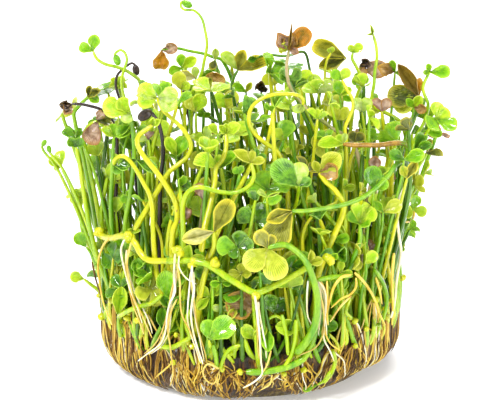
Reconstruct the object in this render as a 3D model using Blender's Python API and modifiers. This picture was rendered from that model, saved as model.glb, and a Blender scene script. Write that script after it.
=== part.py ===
"""A clump of hairy water clover, Marsilea hirsuta, grown in a cup of gel and knocked out of it.

The roots have matted into a disc that kept the cup's round shape. Creeping stems, leaf stalks with
their fan-shaped leaflets, and young coiled leaves rise from it, and bundles of roots hang in front.
Lengths are in millimetres, and become metres where a mesh is made. The origin is the middle of the
mat's flat underside. +Z is up, and the side that is seen first looks towards -Y.
"""

import math
import random
from collections import namedtuple

import bmesh
import bpy
from mathutils import Matrix, Vector

MM = 0.001
MERGE_DISTANCE = 0.00001
ROUGHNESS = 0.45
CREASE_ANGLE = math.radians(40)

# The root mat has the inside size of the cup that it grew in.
MAT_RADIUS = 32.0
MAT_HEIGHT = 12.0
MAT_FLAT_RADIUS = 26.0
MAT_PROFILE = (
    (0, MAT_HEIGHT), (MAT_RADIUS - 0.8, MAT_HEIGHT), (MAT_RADIUS, MAT_HEIGHT - 1), (MAT_RADIUS, 6.5),
    (MAT_RADIUS - 0.9, 3.2), (MAT_RADIUS - 3, 1), (MAT_FLAT_RADIUS, 0), (0, 0),
)
MAT_STEPS = 54
MAT_RIBS = 17
MAT_SLOW_RIBS = 10
SLOW_RIB_SHARE = 0.6
RIB_DEPTH = 0.35
RIB_LEAN_PER_MM = 0.3
RIBS_START_AT = 0.5
WORN_EDGE = (math.radians(-38), math.radians(22), 2.2)
ARCHED_EDGE = (math.radians(-82), math.radians(7), 3.0)
EDGE_FADES_AT = 8.0

# Stalks, leaflets, stems and roots.
STALK_RADIUS = 0.52
STALK_TAPER = 0.75
STEM_RADIUS = 0.75
STEM_TAPER = 0.9
STEM_FACE = 33.0
BUNDLE_RADIUS = 0.7
BUNDLE_FACE = 34.2
LEAF_THICKNESS = 0.4
LEAF_ROOT = 0.35
LEAF_OUTLINE = ((0.66, 0.42), (1.0, 0.2))
LEAF_OVERLAP_STEP = 0.06
BUD_SIZE = (1.25, 0.85, 0.8)
FOOT_HEIGHT = MAT_HEIGHT + 0.7
FOOT_REACH = 30.8
STEP = 0.7
ROUTE_TOLERANCE = 0.36
STALK_BEVEL_RESOLUTION = 0
STEM_BEVEL_RESOLUTION = 1

# How far pieces keep from each other, and how far one may be set back to find room.
CLEARANCE = 0.35
CELL = 2.0
LEAF_SAMPLE_SPACING = 1.0
LEAF_SAMPLE_RADIUS = 0.5
SHIFT_STEP = 0.6
MOST_SHIFT = 9.0
STEM_END_GAP = STEM_RADIUS + STALK_RADIUS + CLEARANCE + 0.1

# The view that the routes are given in: a place is where it shows in a picture of the clump, in
# picture points across and down, and how far back it is from the middle of the clump in millimetres.
VIEW_MIDDLE = (250, 200)
VIEW_FOCUS = 2778
VIEW_DISTANCE = 600
VIEW_RISE = math.radians(18)
VIEW_AIM = Vector((0, 0, 35.3))

# The tufts behind the leaves that the view shows one by one are placed by rule from one seed. Each
# leaf of theirs reaches for the most open place of the canopy that it can lean to.
TUFT_SEED = 29
TUFT_PLACES = ((23, 4), (12, 18), (3, 6), (-8, 22), (-12, 6), (-24, 10))
TUFT_STEM_LENGTH = 13.0
TUFT_STALKS = 6
TUFT_TRIES = 300
TUFT_LEAF_TRIES = 250
TUFT_STEM_JITTER = 5.0
TUFT_BOW = 1.2
TUFT_LEAF_LENGTHS = (4.2, 5.6)
TUFT_LEAF_OUTLINE = ((0.95, 0.33),)
TUFT_NOTCH_SHARE = 0.22
CANOPY_REACH = (38.0, 30.0)
CANOPY_TOP = 64.0
CANOPY_EDGE_DROP = 9.0
CANOPY_LOW = 34.0
MOST_LEAN = 15.0
HEAD_TILT = 0.012

COLOURS = {
    "green": (0.13, 0.42, 0.02, 1),
    "lime": (0.36, 0.62, 0.02, 1),
    "yellow": (0.68, 0.67, 0.03, 1),
    "olive": (0.22, 0.28, 0.03, 1),
    "brown": (0.20, 0.10, 0.04, 1),
    "dark": (0.03, 0.03, 0.02, 1),
    "mat": (0.28, 0.17, 0.05, 1),
    "root": (0.86, 0.80, 0.55, 1),
}

# Which way an open head looks.
VIEWER = (0, -0.95, 0.3)
RAISED = (0, -0.8, 0.6)
HALF_UP = (0, -0.55, 0.8)
LEFTWARD = (-0.5, -0.7, 0.6)
RIGHTWARD = (0.4, -0.7, 0.6)

# One leaf and its stalk. route runs from the head down, in picture points. back is how far back its
# two ends are. foot is where the stalk leaves the mat, across and back, or None where the route ends
# on the creeping stem. leaves are its leaflets, each an angle in the head's own plane and a length,
# and a leaf with none of them is still coiled, with a bud at its tip.
Leaf = namedtuple("Leaf", "name route back foot facing lift leaves colour")

LEAVES = (
    # Left side, from the outside in.
    Leaf("frond_outer_left", ((61, 166), (70, 185), (79, 210), (88, 240), (97, 268)),
         (-3, -1), (-29.5, -2), LEFTWARD, 20, ((138, 3.2), (87, 3.6)), "lime"),
    Leaf("frond_round_left", ((76, 147), (80, 168), (84, 195), (90, 228), (99, 262)),
         (-8, -7), (-28, -8), VIEWER, 25, ((130, 2.8), (50, 2.8)), "green"),
    Leaf("frond_blackened", ((72, 104), (80, 104), (90, 106), (100, 109), (108, 115), (115, 128), (117, 160),
         (116, 210)), (-4, -4), (-25.5, -3.5), VIEWER, 10, ((195, 3.4), (235, 3.2)), "dark"),
    Leaf("frond_olive_left", ((88, 97), (80, 105), (74, 113), (75, 122), (77, 132), (84, 160), (92, 200),
         (101, 245)), (3, 3), (-27, 4), RAISED, 20, ((15, 3.6), (78, 2.6), (330, 3)), "olive"),
    Leaf("frond_pale_left", ((130, 113), (132, 125), (134, 150), (131, 190), (125, 230)),
         (-12, -13), (-23, -14.5), HALF_UP, 15, ((175, 6.2), (140, 4), (250, 3)), "lime"),
    Leaf("frond_fork_left", ((114, 137), (113, 150), (112, 175), (111, 215)),
         (-10, -10), (-27, -11), HALF_UP, 25, ((18, 5.2), (165, 3.4), (95, 3)), "green"),
    Leaf("frond_pink_left", ((97, 121), (90, 125), (84, 134), (88, 160), (96, 200), (104, 240)),
         (-7, -6), (-26.5, -7), VIEWER, 12, ((5, 3.4), (60, 2.6), (252, 5.4)), "brown"),
    Leaf("frond_spoon_left", ((84, 279), (90, 284), (98, 290)),
         (-4, -4), (-30.4, -3), VIEWER, 5, ((165, 3.2),), "green"),
    # Tall and coiled leaves of the left half.
    Leaf("crosier_tall", ((187, 4), (184, 1), (181, 3), (181, 7), (185, 10), (193, 10), (201, 17), (205, 30),
         (207, 45), (204, 62), (202, 72), (195, 87), (187, 101), (184, 130)),
         (6, 8), (-11, 8), None, 0, (), "lime"),
    Leaf("frond_paired_bud", ((93, 51), (97, 59), (105, 64), (117, 67), (125, 70), (133, 75), (139, 80),
         (141, 95), (148, 130)), (0, 4), (-20, 10), VIEWER, 0, ((82, 3.7), (158, 3.3)), "lime"),
    Leaf("crosier_small", ((117, 60), (115, 57), (115, 54), (118, 51), (121, 50), (125, 53), (127, 60),
         (125, 67), (122, 77), (122, 88), (125, 100), (128, 107)),
         (-2, -2), (-21, -2), None, 0, (), "yellow"),
    Leaf("crosier_dark", ((136, 70), (135, 65), (132, 63), (128, 65), (123, 69), (118, 74), (116, 80),
         (116, 87), (119, 97), (123, 106)), (6, 6), (-23, 7), None, 0, (), "dark"),
    Leaf("crosier_black", ((145, 115), (150, 112), (154, 116), (158, 122), (161, 132), (163, 145), (163, 158),
         (161, 175)), (-14, -14), (-19, -16), None, 0, (), "dark"),
    Leaf("frond_pale_clover", ((157, 98), (163, 110), (171, 118), (180, 126), (187, 135), (191, 146),
         (188, 156), (179, 164), (170, 171), (163, 182), (155, 195), (147, 209), (139, 222), (132, 236)),
         (-18, -21), None, (0, -0.9, 0.45), 12, ((152, 4.8), (200, 4.4), (8, 4.8), (330, 5.2)), "lime"),
    Leaf("frond_hook", ((152, 125), (146, 130), (140, 134), (137, 140), (138, 146), (143, 155), (150, 164),
         (158, 174), (167, 187), (174, 199), (177, 210), (177, 220), (173, 231)),
         (-20, -24), (-14, -23), VIEWER, 40, ((30, 2.6),), "yellow"),
    Leaf("frond_yellow_arc", ((114, 165), (114, 161), (118, 157), (123, 156), (129, 160), (137, 171),
         (144, 184), (149, 193), (152, 205), (153, 230), (155, 260), (157, 275), (162, 290)),
         (-22, -29), (-17, -26), HALF_UP, 10, ((345, 3.4), (300, 2.6)), "yellow"),
    # Middle, from the top down.
    Leaf("frond_orange", ((162, 50), (175, 48), (190, 51), (205, 54), (213, 57), (222, 60)),
         (24, 24), (-7, 24), VIEWER, 10, ((265, 4.6), (8, 4.2)), "brown"),
    Leaf("frond_black_stalk", ((182, 80), (184, 95), (187, 110), (191, 126)),
         (14, 14), (-13, 18), VIEWER, 10, ((110, 2.8),), "dark"),
    Leaf("frond_brown_round", ((206, 90), (201, 98), (201, 106), (206, 114), (214, 120), (222, 124)),
         (16, 16), (-6, 16), VIEWER, 10, ((42, 6), (88, 3.8), (225, 4.2)), "brown"),
    Leaf("frond_top_olive", ((238, 70), (234, 77), (232, 86), (235, 98), (241, 108), (248, 117)),
         (22, 20), (1, 20), RAISED, 15, ((138, 5.4), (72, 4.8), (5, 7.4)), "olive"),
    Leaf("frond_dark_small", ((261, 92), (264, 105), (266, 120)),
         (26, 26), (4, 27), VIEWER, 15, ((98, 3.2),), "dark"),
    Leaf("frond_small_top", ((226, 134), (226, 148), (222, 160), (216, 168), (215, 180), (213, 192),
         (209, 210), (205, 226), (202, 245), (201, 262)),
         (-22, -32.3), None, RAISED, 30, ((140, 2.6), (22, 4)), "yellow"),
    Leaf("frond_twin_middle", ((221, 168), (223, 180), (225, 200), (227, 225)),
         (-20, -19), (-5, -17), HALF_UP, 15, ((170, 6), (35, 4.8), (105, 3)), "lime"),
    Leaf("frond_s_curve", ((251, 163), (254, 176), (250, 185), (243, 190), (232, 193), (220, 192), (208, 189),
         (199, 187), (192, 189), (186, 195), (183, 205), (183, 225)),
         (-30, -28), (-13, -28), RAISED, 20, ((155, 4.8), (5, 3), (80, 2.6)), "yellow"),
    Leaf("frond_green_middle", ((268, 190), (269, 205), (270, 225), (270, 250)),
         (-26, -18), (2, -18), RAISED, 12, ((25, 5), (115, 4.4), (165, 5), (290, 4.4)), "green"),
    Leaf("frond_round_wet", ((299, 186), (297, 200), (293, 215)),
         (-28, -20), (8, -16), RAISED, 8, ((88, 5), (143, 7.4), (25, 3)), "green"),
    # Right side, from the top down.
    Leaf("frond_brown_clover", ((289, 50), (287, 62), (287, 74), (289, 84), (294, 94), (301, 102), (308, 110),
         (315, 116), (324, 122), (333, 129), (343, 134), (350, 138)),
         (-8, -6), (23, -6), VIEWER, 12, ((125, 5.2), (76, 3.8), (46, 6.2), (160, 3)), "brown"),
    Leaf("frond_big_olive", ((346, 58), (340, 63), (334, 72)),
         (18, 18), (18, 20), VIEWER, 12, ((158, 8), (198, 6.6)), "olive"),
    Leaf("frond_small_right", ((353, 53), (352, 58), (356, 66), (360, 75), (361, 84), (358, 93), (355, 102),
         (353, 110)), (6, 6), (21, 6), VIEWER, 10, ((45, 2.8),), "lime"),
    Leaf("frond_tall_right", ((373, 34), (376, 45), (377, 58), (375, 70), (374, 85), (372, 98), (375, 107),
         (384, 112), (394, 117), (402, 124)), (0, 0), (28, 2), VIEWER, 30, ((108, 2.6),), "lime"),
    Leaf("frond_dead_right", ((360, 66), (362, 80), (364, 95)),
         (14, 14), (24, 14), VIEWER, 10, ((350, 5.8), (300, 3), (25, 3.4)), "brown"),
    Leaf("frond_olive_round", ((419, 97), (424, 100), (422, 108), (415, 116), (407, 135)),
         (4, 4), (29.5, 6), VIEWER, 8, ((178, 7), (124, 9), (105, 4.4), (202, 6)), "olive"),
    Leaf("frond_loop_right", ((430, 72), (426, 79), (423, 88), (425, 96), (428, 103), (425, 120), (415, 140)),
         (-2, -1), (29.6, -1), VIEWER, 10, ((2, 4.4),), "green"),
    Leaf("frond_far_right", ((437, 119), (430, 128), (424, 138), (415, 150)),
         (-8, -8), (28, -8), RIGHTWARD, 15, ((100, 3.8), (40, 3.4), (325, 4.8), (225, 4.8)), "green"),
    Leaf("frond_round_pair", ((342, 80), (347, 90), (352, 98), (353, 108), (349, 118), (345, 128),
         (346, 138)),
         (-13, -13), (19, -14), VIEWER, 10, ((62, 3), (140, 3)), "yellow"),
    Leaf("frond_big_arc", ((303, 105), (303, 99), (297, 95), (286, 94), (272, 95), (261, 99), (252, 107),
         (249, 116), (250, 126), (256, 135), (265, 143), (274, 149), (280, 156)),
         (-20, -22), (6, -20), VIEWER, 30, ((215, 2.8),), "yellow"),
    Leaf("frond_brown_stalk", ((343, 144), (352, 145), (365, 145), (380, 145), (395, 143), (405, 144),
         (408, 152)), (-18, -14), (26, -12), RAISED, 10, ((188, 5.6),), "brown"),
    Leaf("frond_curled", ((319, 173), (326, 182), (334, 189), (340, 197), (344, 204), (343, 213), (338, 226),
         (331, 242), (324, 258), (318, 275), (317, 285)),
         (-26, -29), (13, -27), VIEWER, 12, ((42, 6.2), (8, 5), (115, 3)), "yellow"),
    Leaf("crosier_curl", ((333, 190), (337, 196), (336, 202), (328, 206), (318, 211), (308, 222), (303, 235),
         (303, 250), (305, 262)), (-24, -26), (10, -25), None, 0, (), "yellow"),
    Leaf("frond_front_clover", ((268, 248), (277, 245), (286, 245), (296, 251), (304, 259), (310, 270),
         (314, 282), (317, 296), (317, 312), (314, 328), (306, 342), (298, 351)),
         (-36, -33), (10.4, -29), VIEWER, 8, ((221, 6.4), (290, 7), (122, 4.4), (70, 3)), "yellow"),
    Leaf("frond_hanging_olive", ((292, 211), (305, 211), (320, 209), (338, 206), (352, 202), (365, 196),
         (377, 187), (388, 176), (397, 164), (404, 160), (407, 180)),
         (-33, -16), (29, -11), VIEWER, 5, ((236, 9), (200, 6)), "olive"),
    Leaf("frond_right_front", ((360, 224), (360, 240), (352, 262), (344, 285)),
         (-24, -24), (19, -22), HALF_UP, 20, ((85, 5), (35, 4.6), (140, 3.6), (320, 3)), "green"),
    Leaf("frond_right_middle", ((379, 212), (379, 240), (372, 258), (360, 275), (350, 290)),
         (-20, -22), (21.5, -21), HALF_UP, 20, ((100, 4.2), (20, 4.4), (190, 4)), "lime"),
    Leaf("frond_right_low", ((395, 215), (390, 240), (378, 262), (366, 285)),
         (-14, -16), (25, -15), RIGHTWARD, 20, ((80, 4.6), (20, 4), (160, 4)), "lime"),
    # Low in front.
    Leaf("frond_olive_cream", ((214, 232), (214, 246), (209, 260), (204, 278), (200, 295), (198, 312),
         (197, 330)), (-35.4, -34), (-10, -29), VIEWER, 8, ((62, 7.6), (193, 7)), "olive"),
    Leaf("frond_low_front", ((209, 340), (210, 346)),
         (-31, -30.6), (-8.4, -29.6), VIEWER, 12, ((42, 6.6), (95, 4.4)), "green"),
)

# The two creeping stems, and the bundles of roots that hang from them, in picture points.
FRONT_STEM = (
    (98, 233), (104, 237), (113, 238), (122, 236), (129, 238), (135, 243), (140, 252), (146, 259),
    (165, 261), (190, 261), (203, 263), (212, 267), (225, 276), (238, 284), (250, 291), (256, 293),
    (265, 290), (280, 283), (293, 276), (303, 270), (311, 264),
)
LOW_STEM = ((246, 372), (260, 372), (275, 370), (290, 366), (303, 359), (313, 349))
ROOT_BUNDLES = {
    "roots_left": ((127, 250), (126, 262), (129, 280), (136, 302), (147, 326), (150, 334)),
    "roots_middle_left": ((177, 270), (175, 282), (170, 305), (166, 328), (158, 345), (148, 354)),
    "roots_middle": ((192, 272), (192, 290), (192, 318), (196, 338), (203, 362)),
    "roots_centre": ((258, 302), (259, 320), (261, 340), (262, 358)),
    "roots_right": ((319, 280), (324, 295), (325, 315), (323, 335)),
}


def seen(across, down, back):
    """The place that shows at a point of the picture, at a depth."""
    forward = Vector((0, math.cos(VIEW_RISE), -math.sin(VIEW_RISE)))
    picture_up = Vector((0, math.sin(VIEW_RISE), math.cos(VIEW_RISE)))
    eye = VIEW_AIM - forward * VIEW_DISTANCE
    ray = forward + picture_up * (VIEW_MIDDLE[1] - down) / VIEW_FOCUS
    ray.x = (across - VIEW_MIDDLE[0]) / VIEW_FOCUS
    return eye + ray * (back - eye.y) / ray.y


def on_face(across, down, radius):
    """The place that shows at a point of the picture, on the clump's round outer face."""
    place = seen(across, down, -radius)
    for _ in range(4):
        place = seen(across, down, -math.sqrt(max(0, radius ** 2 - place.x ** 2)))
    return place


def smooth(points):
    """Evenly spaced points along one smooth curve through the given ones."""
    spans = [(b - a).length for a, b in zip(points, points[1:])]
    ways = [(b - a) / span for a, b, span in zip(points, points[1:], spans)]
    slopes = [ways[0], *((a + b) / 2 for a, b in zip(ways, ways[1:])), ways[-1]]
    curve = []
    for i, span in enumerate(spans):
        steps = max(2, round(span / STEP))
        start, end = slopes[i] * span, slopes[i + 1] * span
        for step in range(steps):
            t = step / steps
            curve.append(points[i] * (2 * t ** 3 - 3 * t ** 2 + 1) + start * (t ** 3 - 2 * t ** 2 + t)
                         + points[i + 1] * (3 * t ** 2 - 2 * t ** 3) + end * (t ** 3 - t ** 2))
    return [*curve, points[-1]]


def thinned(points):
    """Drops the points that a straight run stands for, to within the tolerance."""
    first, last = points[0], points[-1]
    along = (last - first).normalized()
    off = [((p - first) - along * (p - first).dot(along)).length for p in points]
    furthest = max(range(len(points)), key=off.__getitem__)
    if off[furthest] <= ROUTE_TOLERANCE:
        return [first, last]
    return thinned(points[:furthest + 1])[:-1] + thinned(points[furthest:])


def spread_back(leaf, shift):
    """The places along a leaf's stalk, each with its share of the depth between the two ends. A stalk
    that stands on the mat is set back whole, and one that grows from the stem only at its head."""
    spans = [math.dist(a, b) for a, b in zip(leaf.route, leaf.route[1:])]
    for i, (across, down) in enumerate(leaf.route):
        share = sum(spans[:i]) / sum(spans)
        back = leaf.back[0] + (leaf.back[1] - leaf.back[0]) * share
        yield seen(across, down, back + shift * (1 if leaf.foot else 1 - share))


def stalk_line(leaf, shift, stem):
    """The smooth line of a stalk, from its foot or the stem to its head."""
    points = list(spread_back(leaf, shift))[::-1]
    if leaf.foot:
        foot = Vector((leaf.foot[0], leaf.foot[1] + shift))
        foot *= min(1, FOOT_REACH / foot.length)
        points.insert(0, Vector((*foot, FOOT_HEIGHT)))
        return smooth(points)
    return [p for p in smooth(points) if min((p - q).length for q in stem) > STEM_END_GAP]


def head_axes(facing):
    """Across, up and outward directions of an open head."""
    outward = Vector(facing).normalized()
    across = (Vector((1, 0, 0)) - outward * outward.x).normalized()
    return across, outward.cross(across), outward


def leaflet_axes(facing, lift, angle):
    """Along, side and normal directions of one leaflet, raised by lift from the head's plane."""
    across, up, outward = head_axes(facing)
    flat = across * math.cos(math.radians(angle)) + up * math.sin(math.radians(angle))
    raised = math.radians(lift)
    along = flat * math.cos(raised) + outward * math.sin(raised)
    normal = outward * math.cos(raised) - flat * math.sin(raised)
    return along, normal.cross(along), normal


def tube_samples(line, radius):
    """Small spheres that fill a tube."""
    for a, b in zip(line, line[1:]):
        steps = max(1, math.ceil((b - a).length / STEP))
        for step in range(steps + 1):
            yield a.lerp(b, step / steps), radius


def leaf_samples(head, leaf):
    """Small spheres that fill the leaflets of a head, or its bud."""
    if not leaf.leaves:
        yield head, BUD_SIZE[0]
    for angle, length in leaf.leaves:
        along, side, _ = leaflet_axes(leaf.facing, leaf.lift, angle)
        for i in range(1, math.ceil(length / LEAF_SAMPLE_SPACING) + 1):
            reach = min(length, i * LEAF_SAMPLE_SPACING)
            half = LEAF_OUTLINE[0][1] * length * min(1, reach / (LEAF_OUTLINE[0][0] * length))
            wide = math.ceil(half / LEAF_SAMPLE_SPACING)
            for j in range(-wide, wide + 1):
                yield head + along * reach + side * half * j / wide, LEAF_SAMPLE_RADIUS


class Crowd:
    """Where there is growth already, so that the next piece can be set clear of it."""

    def __init__(self):
        self.cells = {}

    def add(self, samples):
        for place, radius in samples:
            key = tuple(math.floor(c / CELL) for c in place)
            self.cells.setdefault(key, []).append((place, radius))

    def free(self, samples):
        for place, radius in samples:
            x, y, z = (math.floor(c / CELL) for c in place)
            for key in ((x + i, y + j, z + k) for i in (-1, 0, 1) for j in (-1, 0, 1) for k in (-1, 0, 1)):
                for other, size in self.cells.get(key, ()):
                    if (place - other).length < radius + size + CLEARANCE:
                        return False
        return True


def settled(leaf, crowd, stem):
    """A stalk's line, set back or forward by the least that keeps the leaf clear of its neighbours."""
    inward = 1 if leaf.back[0] < 0 else -1
    for step in range(round(MOST_SHIFT / SHIFT_STEP)):
        for way in (inward, -inward):
            line = thinned(stalk_line(leaf, way * step * SHIFT_STEP, stem))
            samples = [*tube_samples(line, STALK_RADIUS), *leaf_samples(line[-1], leaf)]
            if crowd.free(samples):
                crowd.add(samples)
                return line
    raise RuntimeError(f"no room for {leaf.name}")


def new_object(name, mesh, collection):
    obj = bpy.data.objects.new(name, mesh)
    collection.objects.link(obj)
    return obj


def tube(name, points, radius, collection, taper=STALK_TAPER, resolution=STALK_BEVEL_RESOLUTION):
    """A closed round tube along a line, thinner at its far end."""
    curve = bpy.data.curves.new(name, "CURVE")
    curve.dimensions = "3D"
    curve.bevel_depth = radius * MM
    curve.bevel_resolution = resolution
    curve.use_fill_caps = True
    spline = curve.splines.new("POLY")
    spline.points.add(len(points) - 1)
    for i, (point, place) in enumerate(zip(spline.points, points)):
        point.co = (*(place * MM), 1)
        point.radius = 1 + (taper - 1) * i / (len(points) - 1)
    line = new_object(name, curve, collection)
    bpy.context.view_layer.update()
    mesh = bpy.data.meshes.new_from_object(line.evaluated_get(bpy.context.evaluated_depsgraph_get()))
    bpy.data.objects.remove(line)
    bm = bmesh.new()
    bm.from_mesh(mesh)
    bmesh.ops.remove_doubles(bm, verts=bm.verts, dist=MERGE_DISTANCE)
    bmesh.ops.recalc_face_normals(bm, faces=bm.faces)
    bm.to_mesh(mesh)
    bm.free()
    return new_object(name, mesh, collection)


def plate(outline, head, axes, collection):
    """A flat outline at a head, given a leaf's thickness."""
    along, side, normal = axes
    under = head - normal * LEAF_THICKNESS / 2
    bm = bmesh.new()
    face = bm.faces.new([bm.verts.new((under + along * x + side * y) * MM) for x, y in outline])
    grown = bmesh.ops.extrude_face_region(bm, geom=[face])["geom"]
    raised = [v for v in grown if isinstance(v, bmesh.types.BMVert)]
    bmesh.ops.translate(bm, verts=raised, vec=normal * LEAF_THICKNESS * MM)
    bmesh.ops.recalc_face_normals(bm, faces=bm.faces)
    mesh = bpy.data.meshes.new("plate")
    bm.to_mesh(mesh)
    bm.free()
    return new_object("plate", mesh, collection)


def leaflet(head, facing, lift, angle, length, collection):
    """One fan-shaped leaflet. Each lies a little over the one before."""
    half_outline = [(length * x, length * y) for x, y in LEAF_OUTLINE]
    outline = [(-LEAF_ROOT, 0), *((x, -y) for x, y in half_outline), *reversed(half_outline)]
    over = Vector(facing).normalized() * LEAF_OVERLAP_STEP * len(collection.objects)
    return plate(outline, head + over, leaflet_axes(facing, lift, angle), collection)


def open_head(head, facing, leaves, collection):
    """Four leaflets a quarter turn apart, which lie open as one flat piece."""
    outline = []
    for angle, length in leaves:
        turn = Matrix.Rotation(math.radians(angle), 2)
        half_outline = [(length * x, length * y) for x, y in TUFT_LEAF_OUTLINE]
        notch = length * TUFT_NOTCH_SHARE
        fan = [(notch, -notch), *((x, -y) for x, y in half_outline), *reversed(half_outline)]
        outline.extend(tuple(turn @ Vector(point)) for point in fan)
    return plate(outline, head, leaflet_axes(facing, 0, 0), collection)


def bud(place, direction, collection):
    """The rolled-up leaflets at the tip of a young leaf."""
    bm = bmesh.new()
    bmesh.ops.create_icosphere(bm, subdivisions=1, radius=1)
    turned = direction.to_track_quat("X", "Z").to_matrix().to_4x4()
    sized = Matrix.Diagonal((*(s * MM for s in BUD_SIZE), 1))
    bmesh.ops.transform(bm, matrix=Matrix.Translation(place * MM) @ turned @ sized, verts=bm.verts)
    mesh = bpy.data.meshes.new("bud")
    bm.to_mesh(mesh)
    bm.free()
    return new_object("bud", mesh, collection)


def join(base, pieces):
    """Unites a stalk with the pieces that grow from it, then removes those."""
    union = base.modifiers.new("growth", "BOOLEAN")
    union.operation = "UNION"
    union.solver = "EXACT"
    union.use_self = True
    union.operand_type = "COLLECTION"
    union.collection = pieces
    bpy.context.view_layer.update()
    joined = bpy.data.meshes.new_from_object(base.evaluated_get(bpy.context.evaluated_depsgraph_get()))
    base.modifiers.remove(union)
    base.data = joined
    for piece in list(pieces.objects):
        bpy.data.objects.remove(piece)


def finish(obj, colour):
    """Gives a piece its colour's material, and smooth shading with crisp edges."""
    material = bpy.data.materials.get(colour) or bpy.data.materials.new(colour)
    material.use_nodes = True
    shader = material.node_tree.nodes["Principled BSDF"]
    shader.inputs["Base Color"].default_value = COLOURS[colour]
    shader.inputs["Roughness"].default_value = ROUGHNESS
    shader.inputs["Metallic"].default_value = 0
    obj.data.name = obj.name
    obj.data.materials.clear()
    obj.data.materials.append(material)
    obj.data.shade_smooth()
    obj.data.set_sharp_from_angle(angle=CREASE_ANGLE)


def edge_lift(angle):
    """How far the mat's lower edge is raised: it is worn at the front right, and arched in front."""
    return sum(height * math.exp(-((angle - middle) / width) ** 2)
               for middle, width, height in (WORN_EDGE, ARCHED_EDGE))


def build_mat(collection):
    """The disc of matted roots: a turned profile, its wall ribbed by the strands that ran down the cup
    and its flat underside left alone."""
    edges = [(i, i + 1) for i in range(len(MAT_PROFILE) - 1)]
    mesh = bpy.data.meshes.new("profile")
    mesh.from_pydata([(radius * MM, 0, height * MM) for radius, height in MAT_PROFILE], edges, [])
    turned = new_object("profile", mesh, collection)
    screw = turned.modifiers.new("turn", "SCREW")
    screw.steps = MAT_STEPS
    screw.render_steps = MAT_STEPS
    screw.use_merge_vertices = True
    screw.merge_threshold = MERGE_DISTANCE
    bpy.context.view_layer.update()
    mesh = bpy.data.meshes.new_from_object(turned.evaluated_get(bpy.context.evaluated_depsgraph_get()))
    bpy.data.objects.remove(turned)
    bm = bmesh.new()
    bm.from_mesh(mesh)
    bmesh.ops.remove_doubles(bm, verts=bm.verts, dist=MERGE_DISTANCE)
    for v in bm.verts:
        height = v.co.z / MM
        radius = v.co.xy.length / MM
        if height < RIBS_START_AT or radius < MAT_FLAT_RADIUS:
            continue
        angle = math.atan2(v.co.y, v.co.x)
        slow = math.sin(MAT_SLOW_RIBS * angle + RIB_LEAN_PER_MM * height)
        ribs = math.sin(MAT_RIBS * angle) + SLOW_RIB_SHARE * slow
        wider = 1 + ribs * RIB_DEPTH / radius
        lift = edge_lift(angle) * max(0, 1 - height / EDGE_FADES_AT)
        v.co = Vector((v.co.x * wider, v.co.y * wider, (height + lift) * MM))
    bmesh.ops.recalc_face_normals(bm, faces=bm.faces)
    bm.to_mesh(mesh)
    bm.free()
    finish(new_object("root_mat", mesh, collection), "mat")


def build_leaf(leaf, line, plant, pieces):
    """A stalk with its leaflets, or with its bud where it is still coiled."""
    stalk = tube(leaf.name, line, STALK_RADIUS, plant)
    for angle, length in leaf.leaves:
        leaflet(line[-1], leaf.facing, leaf.lift, angle, length, pieces)
    if not leaf.leaves:
        bud(line[-1], line[-1] - line[-2], pieces)
    join(stalk, pieces)
    finish(stalk, leaf.colour)


def tuft_leaf(chance, foot):
    """A leaf of a tuft: its line from the foot up, bowed a little, and its open head. The canopy is an
    ellipse seen from above, and lower towards its edge."""
    lean = chance.uniform(0, MOST_LEAN)
    way = chance.uniform(0, 2 * math.pi)
    top = foot + Vector((lean * math.cos(way), lean * math.sin(way), 0))
    out = math.hypot(top.x / CANOPY_REACH[0], top.y / CANOPY_REACH[1])
    top.xy /= max(1, out)
    top.z = chance.uniform(CANOPY_LOW, CANOPY_TOP - CANOPY_EDGE_DROP * min(1, out) ** 2)
    bow = Vector((chance.uniform(-1, 1), chance.uniform(-1, 1), 0)) * TUFT_BOW
    spin = chance.uniform(0, 90)
    length = chance.uniform(*TUFT_LEAF_LENGTHS)
    leaves = tuple((spin + 90 * i, length) for i in range(4))
    facing = (top.x * HEAD_TILT, top.y * HEAD_TILT, 1)
    return Leaf("", None, None, None, facing, 0, leaves, "green"), [foot, foot.lerp(top, 0.5) + bow, top]


def tuft_stem(chance, middle):
    """A short creeping stem that lies on the mat near a place, with a point for each of its stalks."""
    way = chance.uniform(0, math.pi)
    along = Vector((math.cos(way), math.sin(way), 0)) * TUFT_STEM_LENGTH / 2
    off = Vector((chance.uniform(-1, 1), chance.uniform(-1, 1), 0)) * TUFT_STEM_JITTER
    centre = Vector((*middle, MAT_HEIGHT + CLEARANCE + STEM_RADIUS)) + off
    ends = [centre - along, centre + along]
    if max(end.xy.length for end in ends) > FOOT_REACH - STEM_RADIUS:
        return None
    return [ends[0].lerp(ends[1], i / (TUFT_STALKS - 1)) for i in range(TUFT_STALKS)]


def openness(found, heads):
    """How far a leaf's head is from the nearest other head."""
    return min((found[1][-1] - other).length for other in heads)


def stem_samples(stem):
    return list(tube_samples(stem, STEM_RADIUS))


def leaf_and_stalk_samples(found):
    leaf, line = found
    return [*tube_samples(line, STALK_RADIUS), *leaf_samples(line[-1], leaf)]


def clear_of_stem(found):
    """The part of a leaf that is above the place where it joins its stem."""
    low = MAT_HEIGHT + 3 * STEM_RADIUS + STALK_RADIUS
    return [sample for sample in leaf_and_stalk_samples(found) if sample[0].z > low]


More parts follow.
